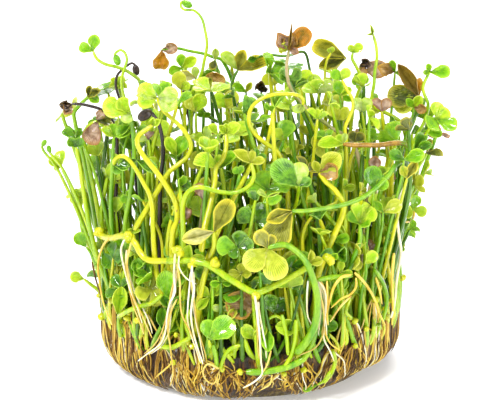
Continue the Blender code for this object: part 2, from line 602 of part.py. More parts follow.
def tuft_lines(crowd, heads):
    """Each tuft's stem and the leaves that grow from it, one by one, in the most open places."""
    chance = random.Random(TUFT_SEED)
    for middle in TUFT_PLACES:
        stems = (tuft_stem(chance, middle) for _ in range(TUFT_TRIES))
        stem = next(s for s in stems if s and crowd.free(stem_samples(s)))
        siblings = Crowd()
        taken = stem_samples(stem)
        grown = []
        for foot in stem:
            tries = [tuft_leaf(chance, foot) for _ in range(TUFT_LEAF_TRIES)]
            tries.sort(key=lambda found: -openness(found, heads))
            found = next((t for t in tries if crowd.free(leaf_and_stalk_samples(t))
                          and siblings.free(clear_of_stem(t))), None)
            if found:
                siblings.add(clear_of_stem(found))
                taken.extend(leaf_and_stalk_samples(found))
                heads.append(found[1][-1])
                grown.append(found)
        crowd.add(taken)
        yield stem, grown


def build_tufts(plant, pieces, crowd, heads):
    for number, (stem, grown) in enumerate(tuft_lines(crowd, heads), 1):
        tuft = tube(f"tuft_back_{number}", [stem[0], stem[-1]], STEM_RADIUS, plant, STEM_TAPER)
        for leaf, line in grown:
            tube("stalk", line, STALK_RADIUS, pieces)
            open_head(line[-1], leaf.facing, leaf.leaves, pieces)
        join(tuft, pieces)
        finish(tuft, "green")


def main():
    for obj in list(bpy.data.objects):
        bpy.data.objects.remove(obj)
    plant = bpy.data.collections.new("water_clover")
    pieces = bpy.data.collections.new("pieces")
    for collection in (plant, pieces):
        bpy.context.scene.collection.children.link(collection)

    build_mat(plant)
    crowd = Crowd()
    front_stem = smooth([on_face(*p, STEM_FACE) for p in FRONT_STEM])
    low_stem = smooth([on_face(*p, BUNDLE_FACE) for p in LOW_STEM])
    for name, line in (("front_runner", front_stem), ("low_runner", low_stem)):
        finish(tube(name, thinned(line), STEM_RADIUS, plant, STEM_TAPER, STEM_BEVEL_RESOLUTION), "yellow")
        crowd.add(tube_samples(thinned(line), STEM_RADIUS))
    for name, route in ROOT_BUNDLES.items():
        line = thinned(smooth([on_face(*p, BUNDLE_FACE) for p in route]))
        finish(tube(name, line, BUNDLE_RADIUS, plant, resolution=STEM_BEVEL_RESOLUTION), "root")
        crowd.add(tube_samples(line, BUNDLE_RADIUS))
    heads = []
    for leaf in sorted(LEAVES, key=lambda leaf: leaf.back[0]):
        line = settled(leaf, crowd, front_stem)
        build_leaf(leaf, line, plant, pieces)
        heads.append(line[-1])
    build_tufts(plant, pieces, crowd, heads)
    bpy.data.collections.remove(pieces)


main()
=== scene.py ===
import itertools
import math
import random
from collections import namedtuple

import bmesh
import bpy
from mathutils import Matrix, Vector


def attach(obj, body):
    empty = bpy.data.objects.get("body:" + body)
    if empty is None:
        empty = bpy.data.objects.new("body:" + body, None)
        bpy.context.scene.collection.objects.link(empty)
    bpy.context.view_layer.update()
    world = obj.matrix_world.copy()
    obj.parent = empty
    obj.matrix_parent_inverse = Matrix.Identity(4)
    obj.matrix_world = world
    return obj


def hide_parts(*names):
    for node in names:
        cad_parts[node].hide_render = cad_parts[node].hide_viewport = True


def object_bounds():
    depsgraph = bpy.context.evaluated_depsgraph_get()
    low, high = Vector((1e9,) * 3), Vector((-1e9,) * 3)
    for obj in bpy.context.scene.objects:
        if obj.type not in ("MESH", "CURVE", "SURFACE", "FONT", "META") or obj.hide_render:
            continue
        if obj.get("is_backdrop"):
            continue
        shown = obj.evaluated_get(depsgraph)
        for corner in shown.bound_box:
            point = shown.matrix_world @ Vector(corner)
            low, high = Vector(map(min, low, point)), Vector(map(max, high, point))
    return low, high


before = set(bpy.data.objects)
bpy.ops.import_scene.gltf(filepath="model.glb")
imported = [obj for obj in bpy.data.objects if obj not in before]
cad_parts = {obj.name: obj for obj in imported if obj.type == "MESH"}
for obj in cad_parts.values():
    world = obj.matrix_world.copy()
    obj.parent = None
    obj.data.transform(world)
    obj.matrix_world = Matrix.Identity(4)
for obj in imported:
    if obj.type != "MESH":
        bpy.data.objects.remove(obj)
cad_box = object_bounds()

# The camera.
# A long lens looks down on the clump from in front. Most places on the clump are given as they show
# in this view: picture points across and down, and how far back they are in millimetres.
MM = 0.001
VIEW_MIDDLE = (250, 200)
VIEW_FOCUS = 2778
VIEW_DISTANCE = 600
VIEW_RISE = math.radians(18)
VIEW_AIM = Vector((0, 0, 35.3))
LENS = 200
NEAREST_SEEN = 0.01
forward = Vector((0, math.cos(VIEW_RISE), -math.sin(VIEW_RISE)))
picture_up = Vector((0, math.sin(VIEW_RISE), math.cos(VIEW_RISE)))
eye = VIEW_AIM - forward * VIEW_DISTANCE

camera = bpy.data.objects.new("camera", bpy.data.cameras.new("camera"))
bpy.context.scene.collection.objects.link(camera)
camera.location = eye * MM
camera.rotation_euler = (math.radians(90) - VIEW_RISE, 0, 0)
camera.data.lens = LENS
camera.data.clip_start = NEAREST_SEEN
bpy.context.scene.camera = camera


# The floor and the light.
# A white sheet, lit a little from below, stands under a white tent, with a soft lamp high on the
# left, a weaker one low on the right and one behind, which shines through the leaves.
FLOOR_SIZE = 8.0
TENT_STRENGTH = 0.68
FLOOR_GLOW = 0.25
# Each lamp's place in metres, its width and its power.
LAMPS = {
    "key_lamp": ((-0.35, -0.5, 0.75), 0.22, 9.0),
    "fill_lamp": ((0.6, -0.6, 0.14), 0.5, 4.4),
    "back_lamp": ((0.15, 0.6, 0.6), 0.4, 5.0),
}


def linear(hex_colour):
    """A colour written as sRGB hex, in the linear values that a shader takes."""
    parts = [int(hex_colour[i:i + 2], 16) / 255 for i in (0, 2, 4)]
    return (*(p / 12.92 if p <= 0.04045 else ((p + 0.055) / 1.055) ** 2.4 for p in parts), 1)


def surface(name, **sockets):
    """A material, its node tree and its shader, with the uniform values on the shader's own sockets."""
    material = bpy.data.materials.new(name)
    material.use_nodes = True
    shader = material.node_tree.nodes["Principled BSDF"]
    for socket, value in sockets.items():
        shader.inputs[socket.replace("_", " ")].default_value = value
    return material, material.node_tree, shader


bm = bmesh.new()
bmesh.ops.create_grid(bm, x_segments=1, y_segments=1, size=FLOOR_SIZE / 2)
floor = bpy.data.objects.new("floor", bpy.data.meshes.new("floor"))
bm.to_mesh(floor.data)
bm.free()
bpy.context.scene.collection.objects.link(floor)
paper = surface("white paper sheet", Base_Color=linear("F6F6F6"), Roughness=0.7,
                Emission_Color=linear("FFFFFF"), Emission_Strength=FLOOR_GLOW)[0]
floor.data.materials.append(paper)
floor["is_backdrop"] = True

world = bpy.data.worlds.new("white tent")
world.use_nodes = True
world.node_tree.nodes["Background"].inputs["Color"].default_value = (1, 1, 1, 1)
world.node_tree.nodes["Background"].inputs["Strength"].default_value = TENT_STRENGTH
bpy.context.scene.world = world
bpy.context.scene.view_settings.view_transform = "Standard"
for name, (place, size, power) in LAMPS.items():
    lamp = bpy.data.objects.new(name, bpy.data.lights.new(name, "AREA"))
    bpy.context.scene.collection.objects.link(lamp)
    lamp.data.size = size
    lamp.data.energy = power
    lamp.location = place
    lamp.rotation_euler = (VIEW_AIM * MM - lamp.location).to_track_quat("-Z", "Y").to_euler()


# The root mat.
# A disc of roots that matted together against the wall of a cup and kept its shape. It is a wet,
# tanned film, brown where it is oldest, with the strands that run down it in yellow and cream. The film's
# tones are darkened as painted shade between the stalks, and its near-black top is painted shade.
MAT_RADIUS = 32.0
MAT_HEIGHT = 12.0
MAT_FLAT_RADIUS = 26.0
MAT_WALL_FOOT = 6.5
STRAND_WIDTH = 0.9
STRAND_LENGTH = 9.0
PATCH_WIDTH = 6.0
PATCH_LENGTH = 5.0
GRAIN_WIDTH = 0.35
GRAIN_STRETCH = 3
NOISE_DETAIL = 2
# Where in the noise the strands and the grain begin, and where they are full.
STRAND_EDGE = (0.45, 0.68)
GRAIN_EDGE = (0.3, 0.7)
# Between which heights the film darkens to its top, a painted shade under the leaves, and pales to its lower
# rim.
TOP_SHADE_FADE = (MAT_HEIGHT - 1.5, MAT_HEIGHT)
RIM_FADE = (2.2, 0.6)
FILM_RELIEF = 0.3
# Its tones: old and young film, darkened as painted shade, old and young strands, those at the rim, and the
# top's painted shade.
FILM_AND_SHADE_TONES = ("160B04", "40260A")
STRAND_TONES = ("6A4210", "9A7426")
RIM_TONES = ("524010", "94842C")
TOP_PAINTED_SHADE = "120A04"


def add(tree, kind, inputs, **settings):
    """A new node with its settings, and with each input linked or given its value."""
    node = tree.nodes.new(kind)
    for name, value in settings.items():
        setattr(node, name, value)
    for name, value in inputs.items():
        if isinstance(value, bpy.types.NodeSocket):
            tree.links.new(value, node.inputs[name])
        else:
            node.inputs[name].default_value = value
    return node


def ranged(tree, value, low, high):
    """A value spread over 0 to 1 between two bounds."""
    return add(tree, "ShaderNodeMapRange", {"Value": value, "From Min": low, "From Max": high}).outputs[0]


def maths(tree, operation, *values):
    """One step of arithmetic on values or other nodes' outputs."""
    return add(tree, "ShaderNodeMath", dict(enumerate(values)), operation=operation).outputs[0]


def blotches(tree, across, along, low=0.35, high=0.65):
    """Noise with spots of that width and height in millimetres, its middle values spread over 0 to 1."""
    place = add(tree, "ShaderNodeTexCoord", {}).outputs["Object"]
    scale = (1 / (across * MM), 1 / (across * MM), 1 / (along * MM))
    place = add(tree, "ShaderNodeMapping", {"Vector": place, "Scale": scale}).outputs[0]
    spots = {"Vector": place, "Scale": 1, "Detail": NOISE_DETAIL}
    return ranged(tree, add(tree, "ShaderNodeTexNoise", spots).outputs[0], low, high)


def blend(tree, share, *colours, kind="MIX"):
    """One colour going over into another by a share. Each is sRGB hex or another node's output."""
    first, second = (linear(c) if isinstance(c, str) else c for c in colours)
    inputs = {"Fac": share, "Color1": first, "Color2": second}
    return add(tree, "ShaderNodeMixRGB", inputs, blend_type=kind).outputs[0]


def raise_by(tree, shader, height, depth):
    """Gives the shader a bump of that height pattern, its depth in millimetres."""
    bump = add(tree, "ShaderNodeBump", {"Height": height, "Distance": depth * MM})
    tree.links.new(bump.outputs[0], shader.inputs["Normal"])


film, tree, shader = surface("tanned root film with painted shade", Roughness=0.5, Coat_Weight=0.25, Coat_Roughness=0.2)
streak = blotches(tree, STRAND_WIDTH, STRAND_LENGTH, *STRAND_EDGE)
patch = blotches(tree, PATCH_WIDTH, PATCH_LENGTH)
grain = blotches(tree, GRAIN_WIDTH, GRAIN_WIDTH * GRAIN_STRETCH, *GRAIN_EDGE)
place = add(tree, "ShaderNodeTexCoord", {}).outputs["Object"]
height = add(tree, "ShaderNodeSeparateXYZ", {"Vector": place}).outputs["Z"]
# top spreads the near-black painted shade under the leaves over the film's upper edge and its top.
top, rim = (ranged(tree, height, low * MM, high * MM) for low, high in (TOP_SHADE_FADE, RIM_FADE))
# The old and young film tones are darkened to paint in the shade between the stalks.
wall = blend(tree, streak, blend(tree, patch, *FILM_AND_SHADE_TONES), blend(tree, patch, *STRAND_TONES))
tone = blend(tree, rim, blend(tree, top, wall, TOP_PAINTED_SHADE), blend(tree, streak, *RIM_TONES))
tree.links.new(tone, shader.inputs["Base Color"])
raise_by(tree, shader, maths(tree, "ADD", streak, grain), FILM_RELIEF)
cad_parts["root_mat"].material_slots[0].material = film


# The creeping stems and their root bundles.
# Two green-yellow stems creep over the clump's front, and white and yellow roots hang from their
# knots in loose bundles. Each takes its solid's place, at the same places in the view.
STEM_RADIUS = 0.75
STEM_TAPER = 0.9
STEM_FACE = 33.0
BUNDLE_RADIUS = 0.7
BUNDLE_FACE = 34.2
STEP = 0.7
ROUTE_TOLERANCE = 0.36
CLEARANCE = 0.35
CELL = 2.0
FACE_PASSES = 4
MERGE_DISTANCE = 0.0005
SHARP_ANGLE = math.radians(60)
# How a tube narrows at the points nearest to its ends, and how round it is.
TUBE_END = (0.6, 0.9)
STEM_ROUNDNESS = 3
THIN_ROUNDNESS = 1
# By how many points the two halves of a two-toned stalk go past the place where they meet.
HALVES_OVERLAP = 3

# In picture points: the knots, the lines of the stems, the way the low one goes on up behind the roots,
# and the lines of the root bundles.
STEM_KNOTS = ((99, 233), (130, 238), (178, 252), (192, 263), (213, 264), (255, 294), (329, 260))
FRONT_STEM = (
    (98, 233), (104, 237), (113, 238), (122, 236), (129, 238), (135, 243), (140, 252), (146, 259),
    (165, 261), (190, 261), (203, 263), (212, 267), (225, 276), (238, 284), (250, 291), (256, 293),
    (265, 290), (280, 283), (293, 276), (303, 270), (311, 264),
)
LOW_STEM = ((246, 372), (260, 372), (275, 370), (290, 366), (303, 359), (313, 349))
LOW_STEM_TOP = ((311, 345), (316, 328))
ROOT_BUNDLES = {
    "roots_left": ((127, 250), (126, 262), (129, 280), (136, 302), (147, 326), (150, 334)),
    "roots_middle_left": ((177, 270), (175, 282), (170, 305), (166, 328), (158, 345), (148, 354)),
    "roots_middle": ((192, 272), (192, 290), (192, 318), (196, 338), (203, 362)),
    "roots_centre": ((258, 302), (259, 320), (261, 340), (262, 358)),
    "roots_right": ((319, 280), (324, 295), (325, 315), (323, 335)),
}


def seen(across, down, back):
    """The place that shows at a point of the picture, at a depth."""
    ray = forward + picture_up * (VIEW_MIDDLE[1] - down) / VIEW_FOCUS
    ray.x = (across - VIEW_MIDDLE[0]) / VIEW_FOCUS
    return eye + ray * (back - eye.y) / ray.y


def on_face(across, down, radius):
    """The place that shows at a point of the picture, on the clump's round outer face."""
    place = seen(across, down, -radius)
    for _ in range(FACE_PASSES):
        place = seen(across, down, -math.sqrt(max(0, radius ** 2 - place.x ** 2)))
    return place


def smooth(points):
    """Evenly spaced points along one smooth curve through the given ones."""
    spans = [(b - a).length for a, b in zip(points, points[1:])]
    ways = [(b - a) / span for a, b, span in zip(points, points[1:], spans)]
    slopes = [ways[0], *((a + b) / 2 for a, b in zip(ways, ways[1:])), ways[-1]]
    curve = []
    for i, span in enumerate(spans):
        steps = max(2, round(span / STEP))
        start, end = slopes[i] * span, slopes[i + 1] * span
        for step in range(steps):
            t = step / steps
            curve.append(points[i] * (2 * t ** 3 - 3 * t ** 2 + 1) + start * (t ** 3 - 2 * t ** 2 + t)
                         + points[i + 1] * (3 * t ** 2 - 2 * t ** 3) + end * (t ** 3 - t ** 2))
    return [*curve, points[-1]]


def thinned(points):
    """Drops the points that a straight run stands for, to within the tolerance."""
    first, last = points[0], points[-1]
    along = (last - first).normalized()
    off = [((p - first) - along * (p - first).dot(along)).length for p in points]
    furthest = max(range(len(points)), key=off.__getitem__)
    if off[furthest] <= ROUTE_TOLERANCE:
        return [first, last]
    return thinned(points[:furthest + 1])[:-1] + thinned(points[furthest:])


def tube_samples(line, radius):
    """Small spheres that fill a tube."""
    for a, b in zip(line, line[1:]):
        steps = max(1, math.ceil((b - a).length / STEP))
        for step in range(steps + 1):
            yield a.lerp(b, step / steps), radius


class Crowd:
    """Where there is growth already, so that the next piece can be set clear of it."""

    def __init__(self):
        self.cells = {}

    def add(self, samples):
        for place, radius in samples:
            key = tuple(math.floor(c / CELL) for c in place)
            self.cells.setdefault(key, []).append((place, radius))

    def free(self, samples):
        for place, radius in samples:
            x, y, z = (math.floor(c / CELL) for c in place)
            for i, j, k in itertools.product((-1, 0, 1), repeat=3):
                for other, size in self.cells.get((x + i, y + j, z + k), ()):
                    if (place - other).length < radius + size + CLEARANCE:
                        return False
        return True


def tube_mesh(tubes, resolution, materials):
    """One mesh of closed tubes. Each is its points, its radius at both ends and its material's number."""
    curve = bpy.data.curves.new("tubes", "CURVE")
    curve.dimensions = "3D"
    curve.bevel_depth = 1
    curve.bevel_resolution = resolution
    curve.use_fill_caps = True
    for material in materials:
        curve.materials.append(material)
    for points, (first, last), look in tubes:
        spline = curve.splines.new("POLY")
        spline.points.add(len(points) - 1)
        spline.material_index = look
        for i, (point, place) in enumerate(zip(spline.points, points)):
            point.co = (*place, 1)
            point.radius = first + (last - first) * i / (len(points) - 1)
            if len(points) > 2 * len(TUBE_END):
                point.radius *= dict(enumerate(TUBE_END)).get(min(i, len(points) - 1 - i), 1)
    line = bpy.data.objects.new("tubes", curve)
    bpy.context.scene.collection.objects.link(line)
    bpy.context.view_layer.update()
    mesh = bpy.data.meshes.new_from_object(line.evaluated_get(bpy.context.evaluated_depsgraph_get()))
    bpy.data.objects.remove(line)
    return mesh


def piece(name, bm, materials, slot, *nodes):
    """A finished piece: brought from millimetres to metres, shaded smooth, and riding on the clump."""
    bmesh.ops.remove_doubles(bm, verts=bm.verts, dist=MERGE_DISTANCE)
    bmesh.ops.recalc_face_normals(bm, faces=bm.faces)
    bmesh.ops.scale(bm, vec=(MM, MM, MM), verts=bm.verts)
    used = sorted({face.material_index for face in bm.faces})
    for face in bm.faces:
        face.material_index = used.index(face.material_index)
        face.smooth = True
    mesh = bpy.data.meshes.new(name)
    bm.to_mesh(mesh)
    bm.free()
    mesh.set_sharp_from_angle(angle=SHARP_ANGLE)
    for i in used:
        mesh.materials.append(materials[i])
    obj = bpy.data.objects.new(name, mesh)
    bpy.context.scene.collection.objects.link(obj)
    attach(obj, "root")
    if nodes:
        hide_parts(*nodes)
    return obj


def tube_piece(name, tubes, resolution, materials, slot, *nodes):
    """A finished piece that is tubes only."""
    bm = bmesh.new()
    bm.from_mesh(tube_mesh(tubes, resolution, materials))
    return piece(name, bm, materials, slot, *nodes)


# Each stalk's look: a light and a deep tone, which run along it in streaks.
STALK_TONES = {
    "lime": ("glossy lime stalk", "B4C818", "8AB20E"),
    "green": ("glossy green stalk", "8EB612", "5A960C"),
    "deep": ("dark green stalk", "5A880E", "386608"),
    "yellow": ("yellow-green stalk", "D2CE1E", "B2BC14"),
    "brown": ("brown dying stalk", "AE8424", "84601A"),
    "tan": ("tan dying stalk", "B6A274", "7F8A3C"),
    "black": ("blackened stalk", "3A2A22", "18120E"),
}
ROOT_TONES = {
    "white": ("fresh white root", "F6F2DC", "E8DAA0"),
    "cream": ("cream root", "E2CC70", "C6A440"),
    "gold": ("yellow root", "EED260", "D8B23C"),
    "amber": ("tanned yellow root", "BE9830", "96701A"),
    "bark": ("old brown root", "755014", "40280C"),
}


# How far red, green and blue light spread inside the tissue, as shares of the farthest, and how much
# light glances off the tissue itself, under the wet coat.
SCATTER = (1.0, 0.9, 0.35)
TISSUE_SHINE = 0.25
# The width and length of specks, where in the noise they begin and are full, and their strength.
SPECKS = (0.25, 0.8, 0.3, 0.75)
SPECK_SHARE = 0.25
SPECK_RELIEF = 0.05


def streaked(name, light, deep, across, along, roughness, coat, glow):
    """A wet plant tissue that goes from a light to a deep tone in streaks."""
    material, tree, shader = surface(name, Roughness=roughness, Coat_Weight=coat, Coat_Roughness=0.12,
                                     Subsurface_Weight=glow, Subsurface_Scale=0.6 * MM,
                                     Subsurface_Radius=SCATTER, Specular_IOR_Level=TISSUE_SHINE)
    speck = blotches(tree, *SPECKS)
    tone = blend(tree, blotches(tree, across, along), light, deep)
    tree.links.new(blend(tree, SPECK_SHARE, tone, speck, kind="SOFT_LIGHT"), shader.inputs["Base Color"])
    raise_by(tree, shader, speck, SPECK_RELIEF)
    return material


stalk_materials = [streaked(*tones, across=1.6, along=9.0, roughness=0.24, coat=0.6, glow=0.2)
                   for tones in STALK_TONES.values()]
root_materials = [streaked(*tones, across=1.5, along=5.0, roughness=0.4, coat=0.25, glow=0.25)
                  for tones in ROOT_TONES.values()]
stalk_look = list(STALK_TONES).index
root_look = list(ROOT_TONES).index

# How much of its speed and of its offset a random walk keeps at each step, and how much is new.
SPEED_KEPT = 0.7
SPEED_NEW = 0.5
OFFSET_KEPT = 0.97


def wander(chance, steps, size):
    """A smooth random walk that starts and stays near zero."""
    value = 0
    speed = chance.uniform(-size, size)
    walk = []
    for _ in range(steps):
        speed = speed * SPEED_KEPT + chance.uniform(-size, size) * SPEED_NEW
        value = value * OFFSET_KEPT + speed
        walk.append(value)
    return walk


KNOT_SEED = 11
KNOT_LUMPS = 4
KNOT_SPREAD = 0.5
KNOT_STAND = 0.2
KNOT_SIZES = (0.7, 1.0)
KNOT_ROUGHNESS = (0.8, 1.25)


def paint(verts, look):
    """Gives a new shape its material."""
    for face in {face for v in verts for face in v.link_faces}:
        face.material_index = look


def add_knot(bm, place, size, chance):
    """A rough little lump of tissue, where leaves and roots grow from a stem."""
    ball = bmesh.ops.create_icosphere(bm, subdivisions=2, radius=size)["verts"]
    paint(ball, stalk_look("yellow"))
    for v in ball:
        v.co = place + v.co * chance.uniform(*KNOT_ROUGHNESS)


def tapered(line, radius, taper, look):
    """A tube for tube_mesh, which narrows along its line to a share of its radius."""
    return line, (radius, radius * taper), look


crowd = Crowd()
front_stem = smooth([on_face(*p, STEM_FACE) for p in FRONT_STEM])
low_stem = smooth([on_face(*p, BUNDLE_FACE) for p in LOW_STEM])
for line in (front_stem, low_stem):
    crowd.add(tube_samples(thinned(line), STEM_RADIUS))
middle = len(front_stem) // 2
halves = ((front_stem[:middle + HALVES_OVERLAP], "yellow"), (front_stem[middle - HALVES_OVERLAP:], "lime"))
tubes = [tapered(half, STEM_RADIUS, STEM_TAPER, stalk_look(look)) for half, look in halves]
tube_piece("front_runner_stem", tubes, STEM_ROUNDNESS, stalk_materials, "yellow", "front_runner")
joined = smooth([on_face(*p, BUNDLE_FACE) for p in (*LOW_STEM[:-1], *LOW_STEM_TOP)])
tubes = [tapered(joined, STEM_RADIUS, STEM_TAPER, stalk_look("green"))]
tube_piece("low_runner_stem", tubes, STEM_ROUNDNESS, stalk_materials, "yellow", "low_runner")

chance = random.Random(KNOT_SEED)
bm = bmesh.new()
for across, down in STEM_KNOTS:
    for _ in range(KNOT_LUMPS):
        off = Vector([chance.uniform(-KNOT_SPREAD, KNOT_SPREAD) for _ in range(3)])
        place = on_face(across, down, STEM_FACE + KNOT_STAND) + off
        add_knot(bm, place, chance.uniform(*KNOT_SIZES), chance)
piece("stem_knots", bm, stalk_materials, "yellow")

BUNDLE_STRANDS = 3
BUNDLE_SPREAD = 0.7
BUNDLE_START = 0.35
BUNDLE_FLATNESS = 0.4
BUNDLE_TWISTS = (1, 3)
BUNDLE_SWAY = 0.09
BUNDLE_LOOKS = ("white", "white", "cream")
STRAND_RADIUS = 0.24
STRAND_TAPER = 0.6
for name, route in ROOT_BUNDLES.items():
    line = smooth([on_face(*p, BUNDLE_FACE) for p in route])
    crowd.add(tube_samples(thinned(line), BUNDLE_RADIUS))
    tubes = []
    for number in range(BUNDLE_STRANDS):
        turn = 2 * math.pi * number / BUNDLE_STRANDS
        twist = chance.uniform(*BUNDLE_TWISTS)
        strand = []
        for i, (place, sway) in enumerate(zip(line, wander(chance, len(line), BUNDLE_SWAY))):
            share = i / (len(line) - 1)
            apart = BUNDLE_SPREAD * (BUNDLE_START + share)
            angle = turn + twist * share
            side = Vector((math.cos(angle), BUNDLE_FLATNESS * math.sin(angle), 0))
            strand.append(place + side * apart + Vector((sway, 0, 0)))
        look = root_look(chance.choice(BUNDLE_LOOKS))
        tubes.append(tapered(strand, STRAND_RADIUS, STRAND_TAPER, look))
    tube_piece(f"{name}_strands", tubes, THIN_ROUNDNESS, root_materials, "root", name)


# The leaves.
# Each is a smooth stalk with up to four thin fan-shaped leaflets, or a coiled tip with its bud. A mesh
# takes each solid's place: it is set clear of its neighbours by the same rule, and so stands in it.
STALK_RADIUS = 0.52
USUAL_RADIUS = STALK_RADIUS * 1.1
STALK_ROUNDNESS = 2
LEAF_OUTLINE = ((0.66, 0.42), (1.0, 0.2))
BUD_SIZE = (1.25, 0.85, 0.8)
FOOT_HEIGHT = MAT_HEIGHT + 0.7
FOOT_REACH = 30.8
LEAF_SAMPLE_SPACING = 1.0
LEAF_SAMPLE_RADIUS = 0.5
SHIFT_STEP = 0.6
MOST_SHIFT = 9.0
STEM_END_GAP = STEM_RADIUS + STALK_RADIUS + CLEARANCE + 0.1

# Which way an open head looks.
VIEWER = (0, -0.95, 0.3)
RAISED = (0, -0.8, 0.6)
HALF_UP = (0, -0.55, 0.8)
LEFTWARD = (-0.5, -0.7, 0.6)
RIGHTWARD = (0.4, -0.7, 0.6)

# One leaf. route runs from the head down, in picture points, and back is how far back its two ends
# are. foot is where the stalk leaves the mat, across and back, or None where the route ends on the
# creeping stem. leaves are its leaflets, each an angle in the head's own plane and a length, and a
# leaf with none of them is still coiled, with a bud at its tip. stalk is the stalk's look, or its look
# below and past its last bend, looks are its leaflets' in turn, and form is their form. facing and
# lift are the way the head looks and how far its leaflets rise towards there. more are leaflets that
# the solid leaves out, radius is the stalk's, and bud is the bud's size beside the usual one.
Leaf = namedtuple("Leaf", "route back foot leaves stalk looks form facing lift slot more radius bud",
                  defaults=("folded", VIEWER, 5, "green", (), USUAL_RADIUS, 1))

